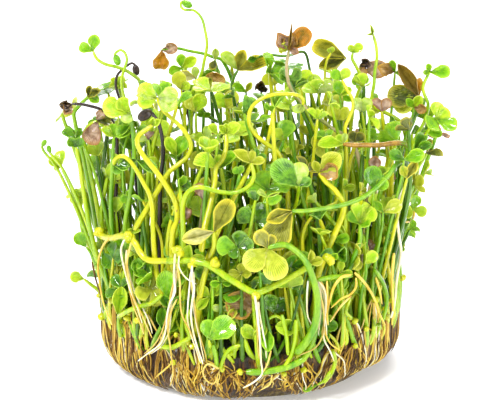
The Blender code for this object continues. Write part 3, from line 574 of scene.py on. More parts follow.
# The leaves that have solids, each under its solid's name.
LEAVES = {
    # Left side, from the outside in.
    "frond_outer_left": Leaf(
        ((61, 166), (70, 185), (79, 210), (88, 240), (97, 268)), (-3, -1), (-29.5, -2),
        ((138, 3.2), (87, 3.6)), "lime", "lime lime lime", "round", LEFTWARD, 20, slot="lime",
        more=((200, 1.8),), radius=0.62),
    "frond_round_left": Leaf(
        ((76, 147), (80, 168), (84, 195), (90, 228), (99, 262)), (-8, -7), (-28, -8), ((130, 2.8), (50, 2.8)),
        "lime", "deep deep deep", "round", VIEWER, 25, more=((85, 2.2),), radius=0.64),
    "frond_blackened": Leaf(
        ((72, 104), (80, 104), (90, 106), (100, 109), (108, 115), (115, 128), (117, 160), (116, 210)),
        (-4, -4), (-25.5, -3.5), ((195, 3.4), (235, 3.2)), "black", "black pink", "dead", VIEWER, 10,
        slot="dark"),
    "frond_olive_left": Leaf(
        ((88, 97), (80, 105), (74, 113), (75, 122), (77, 132), (84, 160), (92, 200), (101, 245)), (3, 3),
        (-27, 4), ((15, 3.6), (78, 2.6), (330, 3)), "green", "olive olive green", "folded", RAISED, 20,
        slot="olive", radius=0.64),
    "frond_pale_left": Leaf(
        ((130, 113), (132, 125), (134, 150), (131, 190), (125, 230)), (-12, -13), (-23, -14.5),
        ((175, 6.2), (140, 4), (250, 3)), "green", "lime lime pale", "fan", HALF_UP, 15, slot="lime",
        radius=0.66),
    "frond_fork_left": Leaf(
        ((114, 137), (113, 150), (112, 175), (111, 215)), (-10, -10), (-27, -11),
        ((18, 5.2), (165, 3.4), (95, 3)), "green", "green lime green", "folded", HALF_UP, 25, radius=0.64),
    "frond_pink_left": Leaf(
        ((97, 121), (90, 125), (84, 134), (88, 160), (96, 200), (104, 240)), (-7, -6), (-26.5, -7),
        ((5, 3.4), (60, 2.6), (252, 5.4)), "lime", "olive pink pink", "dead", VIEWER, 12, slot="brown",
        radius=0.66),
    "frond_spoon_left": Leaf(
        ((84, 279), (90, 284), (98, 290)), (-4, -4), (-30.4, -3), ((165, 3.2),), "lime", "lime", "round",
        VIEWER, 5),
    # Tall and coiled leaves of the left half.
    "crosier_tall": Leaf(
        ((187, 4), (184, 1), (181, 3), (181, 7), (185, 10), (193, 10), (201, 17), (205, 30), (207, 45),
        (204, 62), (202, 72), (195, 87), (187, 101), (184, 130)), (6, 8), (-11, 8), (), "lime", "green",
        "bud", None, 0, slot="lime"),
    "frond_paired_bud": Leaf(
        ((93, 51), (97, 59), (105, 64), (117, 67), (125, 70), (133, 75), (139, 80), (141, 95), (148, 130)),
        (0, 4), (-20, 10), ((82, 3.7), (158, 3.3)), "lime", "green green", "folded", VIEWER, 0, slot="lime"),
    "crosier_small": Leaf(
        ((117, 60), (115, 57), (115, 54), (118, 51), (121, 50), (125, 53), (127, 60), (125, 67), (122, 77),
        (122, 88), (125, 100), (128, 107)), (-2, -2), (-21, -2), (), "lime", "green", "bud", None, 0,
        slot="yellow"),
    "crosier_dark": Leaf(
        ((136, 70), (135, 65), (132, 63), (128, 65), (123, 69), (118, 74), (116, 80), (116, 87), (119, 97),
        (123, 106)), (6, 6), (-23, 7), (), "black", "black", "bud", None, 0, slot="dark"),
    "crosier_black": Leaf(
        ((145, 115), (150, 112), (154, 116), (158, 122), (161, 132), (163, 145), (163, 158), (161, 175)),
        (-14, -14), (-19, -16), (), "black", "black", "bud", None, 0, slot="dark", radius=0.6, bud=1.4),
    "frond_pale_clover": Leaf(
        ((157, 98), (163, 110), (171, 118), (180, 126), (187, 135), (191, 146), (188, 156), (179, 164),
        (170, 171), (163, 182), (155, 195), (147, 209), (139, 222), (132, 236)), (-18, -21), None,
        ((152, 4.8), (200, 4.4), (8, 4.8), (330, 5.2)), "yellow", "lime lime pale pale", "round",
        (0, -0.9, 0.45), 12, slot="lime", radius=0.66),
    "frond_hook": Leaf(
        ((152, 125), (146, 130), (140, 134), (137, 140), (138, 146), (143, 155), (150, 164), (158, 174),
        (167, 187), (174, 199), (177, 210), (177, 220), (173, 231)), (-20, -24), (-14, -23), ((30, 2.6),),
        "yellow", "lime lime", "folded", VIEWER, 40, slot="yellow", more=((75, 2.4),), radius=0.8),
    "frond_yellow_arc": Leaf(
        ((114, 165), (114, 161), (118, 157), (123, 156), (129, 160), (137, 171), (144, 184), (149, 193),
        (152, 205), (153, 230), (155, 260), (157, 275), (162, 290)), (-22, -29), (-17, -26),
        ((345, 3.4), (300, 2.6)), "yellow", "wet wet", "fan", HALF_UP, 10, slot="yellow", radius=0.66),
    # Middle, from the top down.
    "frond_orange": Leaf(
        ((162, 50), (175, 48), (190, 51), (205, 54), (213, 57), (222, 60)), (24, 24), (-7, 24),
        ((265, 4.6), (8, 4.2)), "green", "orange pink", "dead", VIEWER, 10, slot="brown"),
    "frond_black_stalk": Leaf(
        ((182, 80), (184, 95), (187, 110), (191, 126)), (14, 14), (-13, 18), ((110, 2.8),), "black",
        "tan tan", "dead", VIEWER, 10, slot="dark", more=((65, 2.2),)),
    "frond_brown_round": Leaf(
        ((206, 90), (201, 98), (201, 106), (206, 114), (214, 120), (222, 124)), (16, 16), (-6, 16),
        ((42, 6), (88, 3.8), (225, 4.2)), "deep", "tan yellow lime", "dead", VIEWER, 10, slot="brown"),
    "frond_top_olive": Leaf(
        ((238, 70), (234, 77), (232, 86), (235, 98), (241, 108), (248, 117)), (22, 20), (1, 20),
        ((138, 5.4), (72, 4.8), (5, 7.4)), "deep", "pale rimmed rimmed", "folded", RAISED, 15, slot="olive"),
    "frond_dark_small": Leaf(
        ((261, 92), (264, 105), (266, 120)), (26, 26), (4, 27), ((98, 3.2),), "green", "black black", "dead",
        VIEWER, 15, slot="dark", more=((50, 2.4),)),
    "frond_small_top": Leaf(
        ((226, 134), (226, 148), (222, 160), (216, 168), (215, 180), (213, 192), (209, 210), (205, 226),
        (202, 245), (201, 262)), (-22, -32.3), None, ((140, 2.6), (22, 4)), "yellow", "lime lime lime",
        "folded", RAISED, 30, slot="yellow", more=((90, 2.4),), radius=0.72),
    "frond_twin_middle": Leaf(
        ((221, 168), (223, 180), (225, 200), (227, 225)), (-20, -19), (-5, -17),
        ((170, 6), (35, 4.8), (105, 3)), "lime", "lime green lime", "folded", HALF_UP, 15, slot="lime",
        radius=0.66),
    "frond_s_curve": Leaf(
        ((251, 163), (254, 176), (250, 185), (243, 190), (232, 193), (220, 192), (208, 189), (199, 187),
        (192, 189), (186, 195), (183, 205), (183, 225)), (-30, -28), (-13, -28),
        ((155, 4.8), (5, 3), (80, 2.6)), "lime", "yellow yellow yellow", "folded", RAISED, 20, slot="yellow",
        radius=0.68),
    "frond_green_middle": Leaf(
        ((268, 190), (269, 205), (270, 225), (270, 250)), (-26, -18), (2, -18),
        ((25, 5), (115, 4.4), (165, 5), (290, 4.4)), "green", "green green green green", "fan", RAISED, 12,
        radius=0.7),
    "frond_round_wet": Leaf(
        ((299, 186), (297, 200), (293, 215)), (-28, -20), (8, -16), ((88, 5), (143, 7.4), (25, 3)), "lime",
        "pale wet wet", "round", RAISED, 8),
    # Right side, from the top down.
    "frond_brown_clover": Leaf(
        ((289, 50), (287, 62), (287, 74), (289, 84), (294, 94), (301, 102), (308, 110), (315, 116),
        (324, 122), (333, 129), (343, 134), (350, 138)), (-8, -6), (23, -6),
        ((125, 5.2), (76, 3.8), (46, 6.2), (160, 3)), "tan", "pink tan rust yellow pink straw", "dead",
        VIEWER, 12, slot="brown", more=((345, 2.4), (84, 5.8))),
    "frond_big_olive": Leaf(
        ((346, 58), (340, 63), (334, 72)), (18, 18), (18, 20), ((158, 8), (198, 6.6)), "yellow",
        "rimmed olive", "folded", VIEWER, 12, slot="olive"),
    "frond_small_right": Leaf(
        ((353, 53), (352, 58), (356, 66), (360, 75), (361, 84), (358, 93), (355, 102), (353, 110)), (6, 6),
        (21, 6), ((45, 2.8),), "lime", "lime lime", "round", VIEWER, 10, slot="lime", more=((115, 2.0),)),
    "frond_tall_right": Leaf(
        ((373, 34), (376, 45), (377, 58), (375, 70), (374, 85), (372, 98), (375, 107), (384, 112), (394, 117),
        (402, 124)), (0, 0), (28, 2), ((108, 2.6),), "lime", "pale pale", "rolled", VIEWER, 30, slot="lime",
        more=((190, 1.6),)),
    "frond_dead_right": Leaf(
        ((360, 66), (362, 80), (364, 95)), (14, 14), (24, 14), ((350, 5.8), (300, 3), (25, 3.4)), "green",
        "pink tan black", "dead", VIEWER, 10, slot="brown"),
    "frond_olive_round": Leaf(
        ((419, 97), (424, 100), (422, 108), (415, 116), (407, 135)), (4, 4), (29.5, 6),
        ((178, 7), (124, 9), (105, 4.4), (202, 6)), "deep", "olive straw orange yellow", "round", VIEWER, 8,
        slot="olive"),
    "frond_loop_right": Leaf(
        ((430, 72), (426, 79), (423, 88), (425, 96), (428, 103), (425, 120), (415, 140)), (-2, -1),
        (29.6, -1), ((2, 4.4),), "lime", "green green green", "folded", VIEWER, 10,
        more=((105, 2.0), (185, 1.6))),
    "frond_far_right": Leaf(
        ((437, 119), (430, 128), (424, 138), (415, 150)), (-8, -8), (28, -8),
        ((100, 3.8), (40, 3.4), (325, 4.8), (225, 4.8)), "lime", "lime lime green green", "fan", RIGHTWARD,
        15),
    "frond_round_pair": Leaf(
        ((342, 80), (347, 90), (352, 98), (353, 108), (349, 118), (345, 128), (346, 138)), (-13, -13),
        (19, -14), ((62, 3), (140, 3)), "yellow", "lime green", "round", VIEWER, 10, slot="yellow"),
    "frond_big_arc": Leaf(
        ((303, 105), (303, 99), (297, 95), (286, 94), (272, 95), (261, 99), (252, 107), (249, 116),
        (250, 126), (256, 135), (265, 143), (274, 149), (280, 156)), (-20, -22), (6, -20), ((215, 2.8),),
        "yellow", "pale pale", "folded", VIEWER, 30, slot="yellow", more=((255, 2.0),), radius=0.62),
    "frond_brown_stalk": Leaf(
        ((343, 144), (352, 145), (365, 145), (380, 145), (395, 143), (405, 144), (408, 152)), (-18, -14),
        (26, -12), ((188, 5.6),), "green brown", "lime pale lime", "folded", RAISED, 10, slot="brown",
        more=((75, 2.4), (125, 2.4)), radius=0.8),
    "frond_curled": Leaf(
        ((319, 173), (326, 182), (334, 189), (340, 197), (344, 204), (343, 213), (338, 226), (331, 242),
        (324, 258), (318, 275), (317, 285)), (-26, -29), (13, -27), ((42, 6.2), (8, 5), (115, 3)), "yellow",
        "yellow tan yellow", "folded", VIEWER, 12, slot="yellow", radius=0.84),
    "crosier_curl": Leaf(
        ((333, 190), (337, 196), (336, 202), (328, 206), (318, 211), (308, 222), (303, 235), (303, 250),
        (305, 262)), (-24, -26), (10, -25), (), "yellow", "lime", "bud", None, 0, slot="yellow"),
    "frond_front_clover": Leaf(
        ((268, 248), (277, 245), (286, 245), (296, 251), (304, 259), (310, 270), (314, 282), (317, 296),
        (317, 312), (314, 328), (306, 342), (298, 351)), (-36, -33), (10.4, -29),
        ((221, 6.4), (290, 7), (122, 4.4), (70, 3)), "green", "yellow yellow rimmed rimmed", "round", VIEWER,
        8, slot="yellow", radius=0.92),
    "frond_hanging_olive": Leaf(
        ((292, 211), (305, 211), (320, 209), (338, 206), (352, 202), (365, 196), (377, 187), (388, 176),
        (397, 164), (404, 160), (407, 180)), (-33, -16), (29, -11), ((236, 9), (200, 6)), "deep green",
        "rimmed rimmed", "folded", VIEWER, 5, slot="olive", radius=0.7),
    "frond_right_front": Leaf(
        ((360, 224), (360, 240), (352, 262), (344, 285)), (-24, -24), (19, -22),
        ((85, 5), (35, 4.6), (140, 3.6), (320, 3)), "green", "lime lime green green", "fan", HALF_UP, 20,
        radius=0.7),
    "frond_right_middle": Leaf(
        ((379, 212), (379, 240), (372, 258), (360, 275), (350, 290)), (-20, -22), (21.5, -21),
        ((100, 4.2), (20, 4.4), (190, 4)), "green", "lime lime green", "fan", HALF_UP, 20, slot="lime",
        radius=0.72),
    "frond_right_low": Leaf(
        ((395, 215), (390, 240), (378, 262), (366, 285)), (-14, -16), (25, -15),
        ((80, 4.6), (20, 4), (160, 4)), "lime", "lime lime green", "fan", RIGHTWARD, 20, slot="lime",
        radius=0.74),
    # Low in front.
    "frond_olive_cream": Leaf(
        ((214, 232), (214, 246), (209, 260), (204, 278), (200, 295), (198, 312), (197, 330)), (-35.4, -34),
        (-10, -29), ((62, 7.6), (193, 7)), "yellow", "rimmed cream", "folded", VIEWER, 8, slot="olive",
        radius=0.82),
    "frond_low_front": Leaf(
        ((209, 340), (210, 346)), (-31, -30.6), (-8.4, -29.6), ((42, 6.6), (95, 4.4)), "lime", "green green",
        "round", VIEWER, 12),
}

# A leaflet's form: how round its tip is, how far its halves fold up and its edge cups, how it curls
# along its length in radians, and how deep its wrinkles are as a share of its length.
FORMS = {
    "fan": (0.22, 0.12, 0.25, 0.2, 0.015),
    "round": (0.4, 0.08, 0.45, 0.15, 0.012),
    "folded": (0.35, 0.75, 0.15, 0.2, 0.015),
    "dead": (0.3, 0.5, 0.4, 0.8, 0.08),
    "wilted": (0.34, 0.5, 0.3, 0.6, 0.05),
    "rolled": (0.3, 1.25, 0.1, 0.3, 0.02),
}
# The looks that go with a form of their own.
WITHERED = {
    "tan": "wilted", "pink": "wilted", "orange": "wilted",
    "black": "dead", "rust": "folded", "straw": "rolled",
}

# A leaflet's tones: its middle, the lighter mottling, its rim, and how wet it is.
BLADE_TONES = {
    "lime": ("lime leaflet", "90C010", "B8DA2C", "CCE444", 0.35),
    "green": ("green leaflet", "62A40A", "8CC61A", "A2D22E", 0.45),
    "deep": ("dark green leaflet", "3C7A0A", "609C0E", "76AE1C", 0.7),
    "wet": ("wet green leaflet", "34700A", "72AE1E", "92C63C", 1.0),
    "pale": ("pale translucent leaflet", "A6D044", "D4EA88", "BCDC4A", 0.6),
    "yellow": ("yellowing leaflet", "9AA81A", "B6C032", "C8CC4A", 0.2),
    "olive": ("olive leaflet", "3C4714", "6C7624", "B2AA30", 0.5),
    "rimmed": ("olive leaflet with a yellow rim", "6E7420", "98993A", "DACB3A", 0.25),
    "cream": ("faded cream leaflet", "A8A866", "CFCB8C", "DCD25A", 0.2),
    "tan": ("dead tan leaflet", "84602E", "BC9A68", "B08434", 0.15),
    "pink": ("dying pink-brown leaflet", "80604E", "C4A694", "A07038", 0.2),
    "orange": ("dying orange leaflet", "96600F", "BC821C", "B88826", 0.25),
    "rust": ("rusting olive leaflet", "6A5A1C", "A8701C", "B87A20", 0.25),
    "straw": ("rolled brown leaflet", "6A5A20", "94803A", "8A6A22", 0.3),
    "black": ("blackened leaflet", "1E140E", "42302A", "66524A", 0.4),
}
# What a stalk narrows to, as a share of its radius.
THICK_TAPER = 0.65
USUAL_TAPER = 0.6
COIL_TAPER = 0.45

LEAF_SEED = 3
BLADE_THICKNESS = 0.16
BLADE_SINK = 0.1
HALF_FAN = math.radians(36)
BLADE_CUTS = (9, 12)
# How much a leaflet's fold and curl differ from its form's, and the ways it curls.
FOLD_CHANGE = (-0.25, 0.25)
CURL_CHANGE = (-0.15, 0.3)
CURL_WAYS = (1, 1, -1)
LEAST_BEND = 0.02
TIP_POWER = 2.5
# How many wrinkles it has: waves across it, and waves along it, which slant.
WAVES_ACROSS = 7
WAVES_ALONG = 11
WAVES_SLANT = 3
# How deep and how wide the crease of a bud is, as shares of its radius.
BUD_CREASE = 0.22

VEINS = 15
VEIN_BEND = 1.2
VEIN_EDGE = (-1, 0.6)
VEIN_SHARE = 0.22
MOTTLE_SIZE = 1.3
RIM_WIDTH = (0.8, 1.0)
WRINKLE_SIZE = 0.7
# A leaflet's relief when it is dry, and how much more it has when wet.
BLADE_RELIEF = 0.05
WET_RELIEF = 0.12


def veined(name, deep, light, rim, wet):
    """A thin leaf blade with fine veins that fan out from its root, mottled tissue and a paler rim."""
    material, tree, shader = surface(name, Roughness=0.5 - 0.3 * wet, Coat_Weight=0.2 + 0.7 * wet,
                                     Coat_Roughness=0.08, Subsurface_Weight=0.35, Subsurface_Scale=1.0 * MM,
                                     Subsurface_Radius=SCATTER, Specular_IOR_Level=TISSUE_SHINE)
    uv = add(tree, "ShaderNodeSeparateXYZ", {"Vector": add(tree, "ShaderNodeTexCoord", {}).outputs["UV"]})
    along, across = uv.outputs["X"], uv.outputs["Y"]
    mottle = blotches(tree, MOTTLE_SIZE, MOTTLE_SIZE)
    bent = maths(tree, "MULTIPLY_ADD", mottle, VEIN_BEND, 0.0)
    wave = maths(tree, "SINE", maths(tree, "MULTIPLY_ADD", across, VEINS * 2 * math.pi, bent))
    vein = ranged(tree, wave, *VEIN_EDGE)
    aside = maths(tree, "ABSOLUTE", maths(tree, "SUBTRACT", across, 0.5))
    edge = maths(tree, "MAXIMUM", maths(tree, "MULTIPLY", aside, 2.0), along)
    lined = blend(tree, VEIN_SHARE, blend(tree, mottle, deep, light), vein, kind="OVERLAY")
    tone = blend(tree, ranged(tree, edge, *RIM_WIDTH), lined, rim)
    tree.links.new(tone, shader.inputs["Base Color"])
    wrinkles = maths(tree, "ADD", vein, blotches(tree, WRINKLE_SIZE, WRINKLE_SIZE))
    raise_by(tree, shader, wrinkles, BLADE_RELIEF + WET_RELIEF * wet)
    return material


def spread_back(leaf, shift):
    """The places along a leaf's stalk, each with its share of the depth between the two ends. A stalk
    that stands on the mat is set back whole, and one that grows from the stem only at its head."""
    spans = [math.dist(a, b) for a, b in zip(leaf.route, leaf.route[1:])]
    for i, (across, down) in enumerate(leaf.route):
        share = sum(spans[:i]) / sum(spans)
        back = leaf.back[0] + (leaf.back[1] - leaf.back[0]) * share
        yield seen(across, down, back + shift * (1 if leaf.foot else 1 - share))


def stalk_line(leaf, shift, stem):
    """The smooth line of a stalk, from its foot or the stem to its head."""
    points = list(spread_back(leaf, shift))[::-1]
    if leaf.foot:
        foot = Vector((leaf.foot[0], leaf.foot[1] + shift))
        foot *= min(1, FOOT_REACH / foot.length)
        points.insert(0, Vector((*foot, FOOT_HEIGHT)))
        return smooth(points)
    return [p for p in smooth(points) if min((p - q).length for q in stem) > STEM_END_GAP]


def head_axes(facing):
    """Across, up and outward directions of an open head."""
    outward = Vector(facing).normalized()
    across = (Vector((1, 0, 0)) - outward * outward.x).normalized()
    return across, outward.cross(across), outward


def leaflet_axes(facing, lift, angle):
    """Along, side and normal directions of one leaflet, raised by lift from the head's plane."""
    across, up, outward = head_axes(facing)
    flat = across * math.cos(math.radians(angle)) + up * math.sin(math.radians(angle))
    raised = math.radians(lift)
    along = flat * math.cos(raised) + outward * math.sin(raised)
    normal = outward * math.cos(raised) - flat * math.sin(raised)
    return along, normal.cross(along), normal


def leaf_samples(head, leaf):
    """Small spheres that fill the leaflets of a head, or its bud."""
    if not leaf.leaves:
        yield head, BUD_SIZE[0]
    for angle, length in leaf.leaves:
        along, side, _ = leaflet_axes(leaf.facing, leaf.lift, angle)
        for i in range(1, math.ceil(length / LEAF_SAMPLE_SPACING) + 1):
            reach = min(length, i * LEAF_SAMPLE_SPACING)
            half = LEAF_OUTLINE[0][1] * length * min(1, reach / (LEAF_OUTLINE[0][0] * length))
            wide = math.ceil(half / LEAF_SAMPLE_SPACING)
            for j in range(-wide, wide + 1):
                yield head + along * reach + side * half * j / wide, LEAF_SAMPLE_RADIUS


def settled(leaf, crowd, stem):
    """A stalk's line, set back or forward by the least that keeps the leaf clear of its neighbours."""
    inward = 1 if leaf.back[0] < 0 else -1
    for step in range(round(MOST_SHIFT / SHIFT_STEP)):
        for way in (inward, -inward):
            line = thinned(stalk_line(leaf, way * step * SHIFT_STEP, stem))
            samples = [*tube_samples(line, STALK_RADIUS), *leaf_samples(line[-1], leaf)]
            if crowd.free(samples):
                crowd.add(samples)
                return line, way * step * SHIFT_STEP
    raise RuntimeError(f"no room for the leaf at {leaf.route[0]}")


blade_materials = [veined(*tones) for tones in BLADE_TONES.values()]
leaf_materials = stalk_materials + blade_materials


def blade_look(name):
    """The number of a leaflet's material among those of the leaves."""
    return len(stalk_materials) + list(BLADE_TONES).index(name)


def add_blade(bm, base, axes, length, form, look, cuts, chance):
    """One leaflet: a grid bent into a fan, then folded, cupped, wrinkled and curled."""
    along, side, normal = axes
    rounding, fold, cup, curl, wrinkle = FORMS[form]
    fold = max(LEAST_BEND, fold + chance.uniform(*FOLD_CHANGE))
    curl = max(LEAST_BEND, curl + chance.uniform(*CURL_CHANGE)) * chance.choice(CURL_WAYS)
    phase = chance.uniform(0, 2 * math.pi)
    grid = bmesh.ops.create_grid(bm, x_segments=cuts[0], y_segments=cuts[1], size=0.5, calc_uvs=True)["verts"]
    paint(grid, look)
    for v in grid:
        share, across = v.co.x + 0.5, 2 * v.co.y
        reach = length * share * (1 - rounding * abs(across) ** TIP_POWER)
        x = reach * math.cos(HALF_FAN * across)
        y = reach * math.sin(HALF_FAN * across)
        z = abs(y) * math.sin(fold) + cup * y * y / length
        z += wrinkle * length * math.sin(WAVES_ACROSS * across + phase) * share
        z += wrinkle * length * math.sin(WAVES_ALONG * share + WAVES_SLANT * across + phase)
        y *= math.cos(fold)
        turn = curl * x / length
        v.co = (base + side * y + along * ((length / curl - z) * math.sin(turn))
                + normal * (length / curl - (length / curl - z) * math.cos(turn)))


def add_bud(bm, place, direction, size, look):
    """The rolled-up leaflets at a young leaf's tip, a ball with a crease where they meet."""
    turned = direction.to_track_quat("X", "Z").to_matrix().to_4x4()
    ball = bmesh.ops.create_uvsphere(bm, u_segments=16, v_segments=10, radius=1, calc_uvs=True)["verts"]
    paint(ball, look)
    for v in ball:
        crease = 1 - BUD_CREASE * math.exp(-(v.co.z / BUD_CREASE) ** 2)
        v.co = Vector((v.co.x * size[0], v.co.y * size[1] * crease, v.co.z * size[2]))
    bmesh.ops.transform(bm, matrix=Matrix.Translation(place) @ turned, verts=ball)


class Growth:
    """Leaves that become one piece: their stalks, their leaflets and their buds."""

    def __init__(self):
        self.stalks = []
        self.blades = []
        self.buds = []

    def add_stalk(self, line, radius, taper, look):
        self.stalks.append(tapered(line, radius, taper, stalk_look(look)))

    def add_head(self, head, facing, lift, leaves, looks, form):
        for (angle, length), look in zip(leaves, looks):
            axes = leaflet_axes(facing, lift, angle)
            self.blades.append((head - axes[0] * BLADE_SINK, axes, length, WITHERED.get(look, form), look))

    def finish(self, chance, cuts, roundness, name, slot="green", *nodes):
        """Makes them into a piece of thin leaflets, buds and the stalks that carry them."""
        bm = bmesh.new()
        bm.loops.layers.uv.new("UVMap")
        for base, axes, length, form, look in self.blades:
            add_blade(bm, base, axes, length, form, blade_look(look), cuts, chance)
        bmesh.ops.remove_doubles(bm, verts=bm.verts, dist=MERGE_DISTANCE)
        bmesh.ops.solidify(bm, geom=bm.faces[:], thickness=BLADE_THICKNESS)
        for line, size, look in self.buds:
            add_bud(bm, line[-1], line[-1] - line[-2], size, blade_look(look))
        bm.from_mesh(tube_mesh(self.stalks, roundness, leaf_materials))
        piece(name, bm, leaf_materials, slot, *nodes)


chance = random.Random(LEAF_SEED)
heads = []
hosts = []
guards = []
for name, leaf in sorted(LEAVES.items(), key=lambda item: item[1].back[0]):
    line, shift = settled(leaf, crowd, front_stem)
    heads.append(line[-1])
    fine = stalk_line(leaf, shift, front_stem)
    hosts.append(fine)
    radius, taper = leaf.radius, USUAL_TAPER if leaf.leaves else COIL_TAPER
    if radius > USUAL_RADIUS:
        taper = THICK_TAPER
        guards.append(fine)
    growth = Growth()
    tones = leaf.stalk.split()
    if len(tones) > 1:
        corner = list(spread_back(leaf, shift))[-2]
        peak = min(range(len(fine)), key=lambda i: (fine[i] - corner).length)
        halfway = 1 - (1 - taper) * peak / (len(fine) - 1)
        growth.add_stalk(fine[:peak + HALVES_OVERLAP + 1], radius, halfway, tones[0])
        growth.add_stalk(fine[peak - HALVES_OVERLAP:], radius * halfway, taper / halfway, tones[1])
    else:
        growth.add_stalk(fine, radius, taper, tones[0])
    looks = leaf.looks.split()
    growth.add_head(line[-1], leaf.facing, leaf.lift, leaf.leaves + leaf.more, looks, leaf.form)
    if not leaf.leaves:
        growth.buds.append((line, [side * leaf.bud for side in BUD_SIZE], looks[0]))
    mesh_name = name.replace("frond", "leaf").replace("crosier", "coil")
    growth.finish(chance, BLADE_CUTS, STALK_ROUNDNESS, mesh_name, leaf.slot, name)


# The tufts.
# Short creeping stems on the mat, each with the leaves that grow from it into the most open places of
# the canopy. They are placed by the same rule and the same seed as their solids.
TUFT_SEED = 29
TUFT_PLACES = ((23, 4), (12, 18), (3, 6), (-8, 22), (-12, 6), (-24, 10))
TUFT_STEM_LENGTH = 13.0
TUFT_STALKS = 6
TUFT_TRIES = 300
TUFT_LEAF_TRIES = 250
TUFT_STEM_JITTER = 5.0
TUFT_BOW = 1.2
TUFT_LEAF_LENGTHS = (4.2, 5.6)
CANOPY_REACH = (38.0, 30.0)
CANOPY_TOP = 64.0
CANOPY_EDGE_DROP = 9.0
CANOPY_LOW = 34.0
MOST_LEAN = 15.0
HEAD_TILT = 0.012
FRESH_STALKS = ("lime", "green", "lime", "yellow", "deep")
FRESH_BLADES = ("lime", "green", "lime", "deep")
TUFT_LIFT = 10
TUFT_TAPER = 0.75

# The open head of a leaf that no table lists.
Head = namedtuple("Head", "facing lift leaves")


def tuft_leaf(chance, foot):
    """A leaf of a tuft: its line from the foot up, bowed a little, and its open head. The canopy is an
    ellipse seen from above, and lower towards its edge."""
    lean = chance.uniform(0, MOST_LEAN)
    way = chance.uniform(0, 2 * math.pi)
    top = foot + Vector((lean * math.cos(way), lean * math.sin(way), 0))
    out = math.hypot(top.x / CANOPY_REACH[0], top.y / CANOPY_REACH[1])
    top.xy /= max(1, out)
    top.z = chance.uniform(CANOPY_LOW, CANOPY_TOP - CANOPY_EDGE_DROP * min(1, out) ** 2)
    bow = Vector((chance.uniform(-1, 1), chance.uniform(-1, 1), 0)) * TUFT_BOW
    spin = chance.uniform(0, 90)
    length = chance.uniform(*TUFT_LEAF_LENGTHS)
    leaves = tuple((spin + 90 * i, length) for i in range(4))
    facing = (top.x * HEAD_TILT, top.y * HEAD_TILT, 1)
    return Head(facing, 0, leaves), [foot, foot.lerp(top, 0.5) + bow, top]


def tuft_stem(chance, middle):
    """A short creeping stem that lies on the mat near a place, with a point for each of its stalks."""
    way = chance.uniform(0, math.pi)
    along = Vector((math.cos(way), math.sin(way), 0)) * TUFT_STEM_LENGTH / 2
    off = Vector((chance.uniform(-1, 1), chance.uniform(-1, 1), 0)) * TUFT_STEM_JITTER
    centre = Vector((*middle, MAT_HEIGHT + CLEARANCE + STEM_RADIUS)) + off
    ends = [centre - along, centre + along]
    if max(end.xy.length for end in ends) > FOOT_REACH - STEM_RADIUS:
        return None
    return [ends[0].lerp(ends[1], i / (TUFT_STALKS - 1)) for i in range(TUFT_STALKS)]


def openness(found, heads):
    """How far a leaf's head is from the nearest other head."""
    return min((found[1][-1] - other).length for other in heads)


def stem_samples(stem):
    return list(tube_samples(stem, STEM_RADIUS))


def leaf_and_stalk_samples(found):
    leaf, line = found
    return [*tube_samples(line, STALK_RADIUS), *leaf_samples(line[-1], leaf)]


def clear_of_stem(found):
    """The part of a leaf that is above the place where it joins its stem."""
    low = MAT_HEIGHT + 3 * STEM_RADIUS + STALK_RADIUS
    return [sample for sample in leaf_and_stalk_samples(found) if sample[0].z > low]


def tuft_lines(crowd, heads):
    """Each tuft's stem and the leaves that grow from it, one by one, in the most open places."""
    chance = random.Random(TUFT_SEED)
    for middle in TUFT_PLACES:
        stems = (tuft_stem(chance, middle) for _ in range(TUFT_TRIES))
        stem = next(s for s in stems if s and crowd.free(stem_samples(s)))
        siblings = Crowd()
        taken = stem_samples(stem)
        grown = []
        for foot in stem:
            tries = [tuft_leaf(chance, foot) for _ in range(TUFT_LEAF_TRIES)]
            tries.sort(key=lambda found: -openness(found, heads))
            found = next((t for t in tries if crowd.free(leaf_and_stalk_samples(t))
                          and siblings.free(clear_of_stem(t))), None)
            if found:
                siblings.add(clear_of_stem(found))
                taken.extend(leaf_and_stalk_samples(found))
                heads.append(found[1][-1])
                grown.append(found)
        crowd.add(taken)
        yield stem, grown


chance = random.Random(TUFT_SEED + 1)
for number, (stem, grown) in enumerate(tuft_lines(crowd, heads), 1):
    growth = Growth()
    growth.add_stalk([stem[0], stem[-1]], STEM_RADIUS, STEM_TAPER, "lime")
    for leaf, line in grown:
        foot = line[0] - Vector((0, 0, STEM_RADIUS / 2))
        hosts.append(smooth([foot, *line[1:]]))
        growth.add_stalk(hosts[-1], STALK_RADIUS, TUFT_TAPER, chance.choice(FRESH_STALKS))
        looks = [chance.choice(FRESH_BLADES)] * len(leaf.leaves)
        growth.add_head(line[-1], leaf.facing, TUFT_LIFT, leaf.leaves, looks, "fan")
    growth.finish(chance, BLADE_CUTS, STALK_ROUNDNESS, f"tuft_{number}", "green", f"tuft_back_{number}")


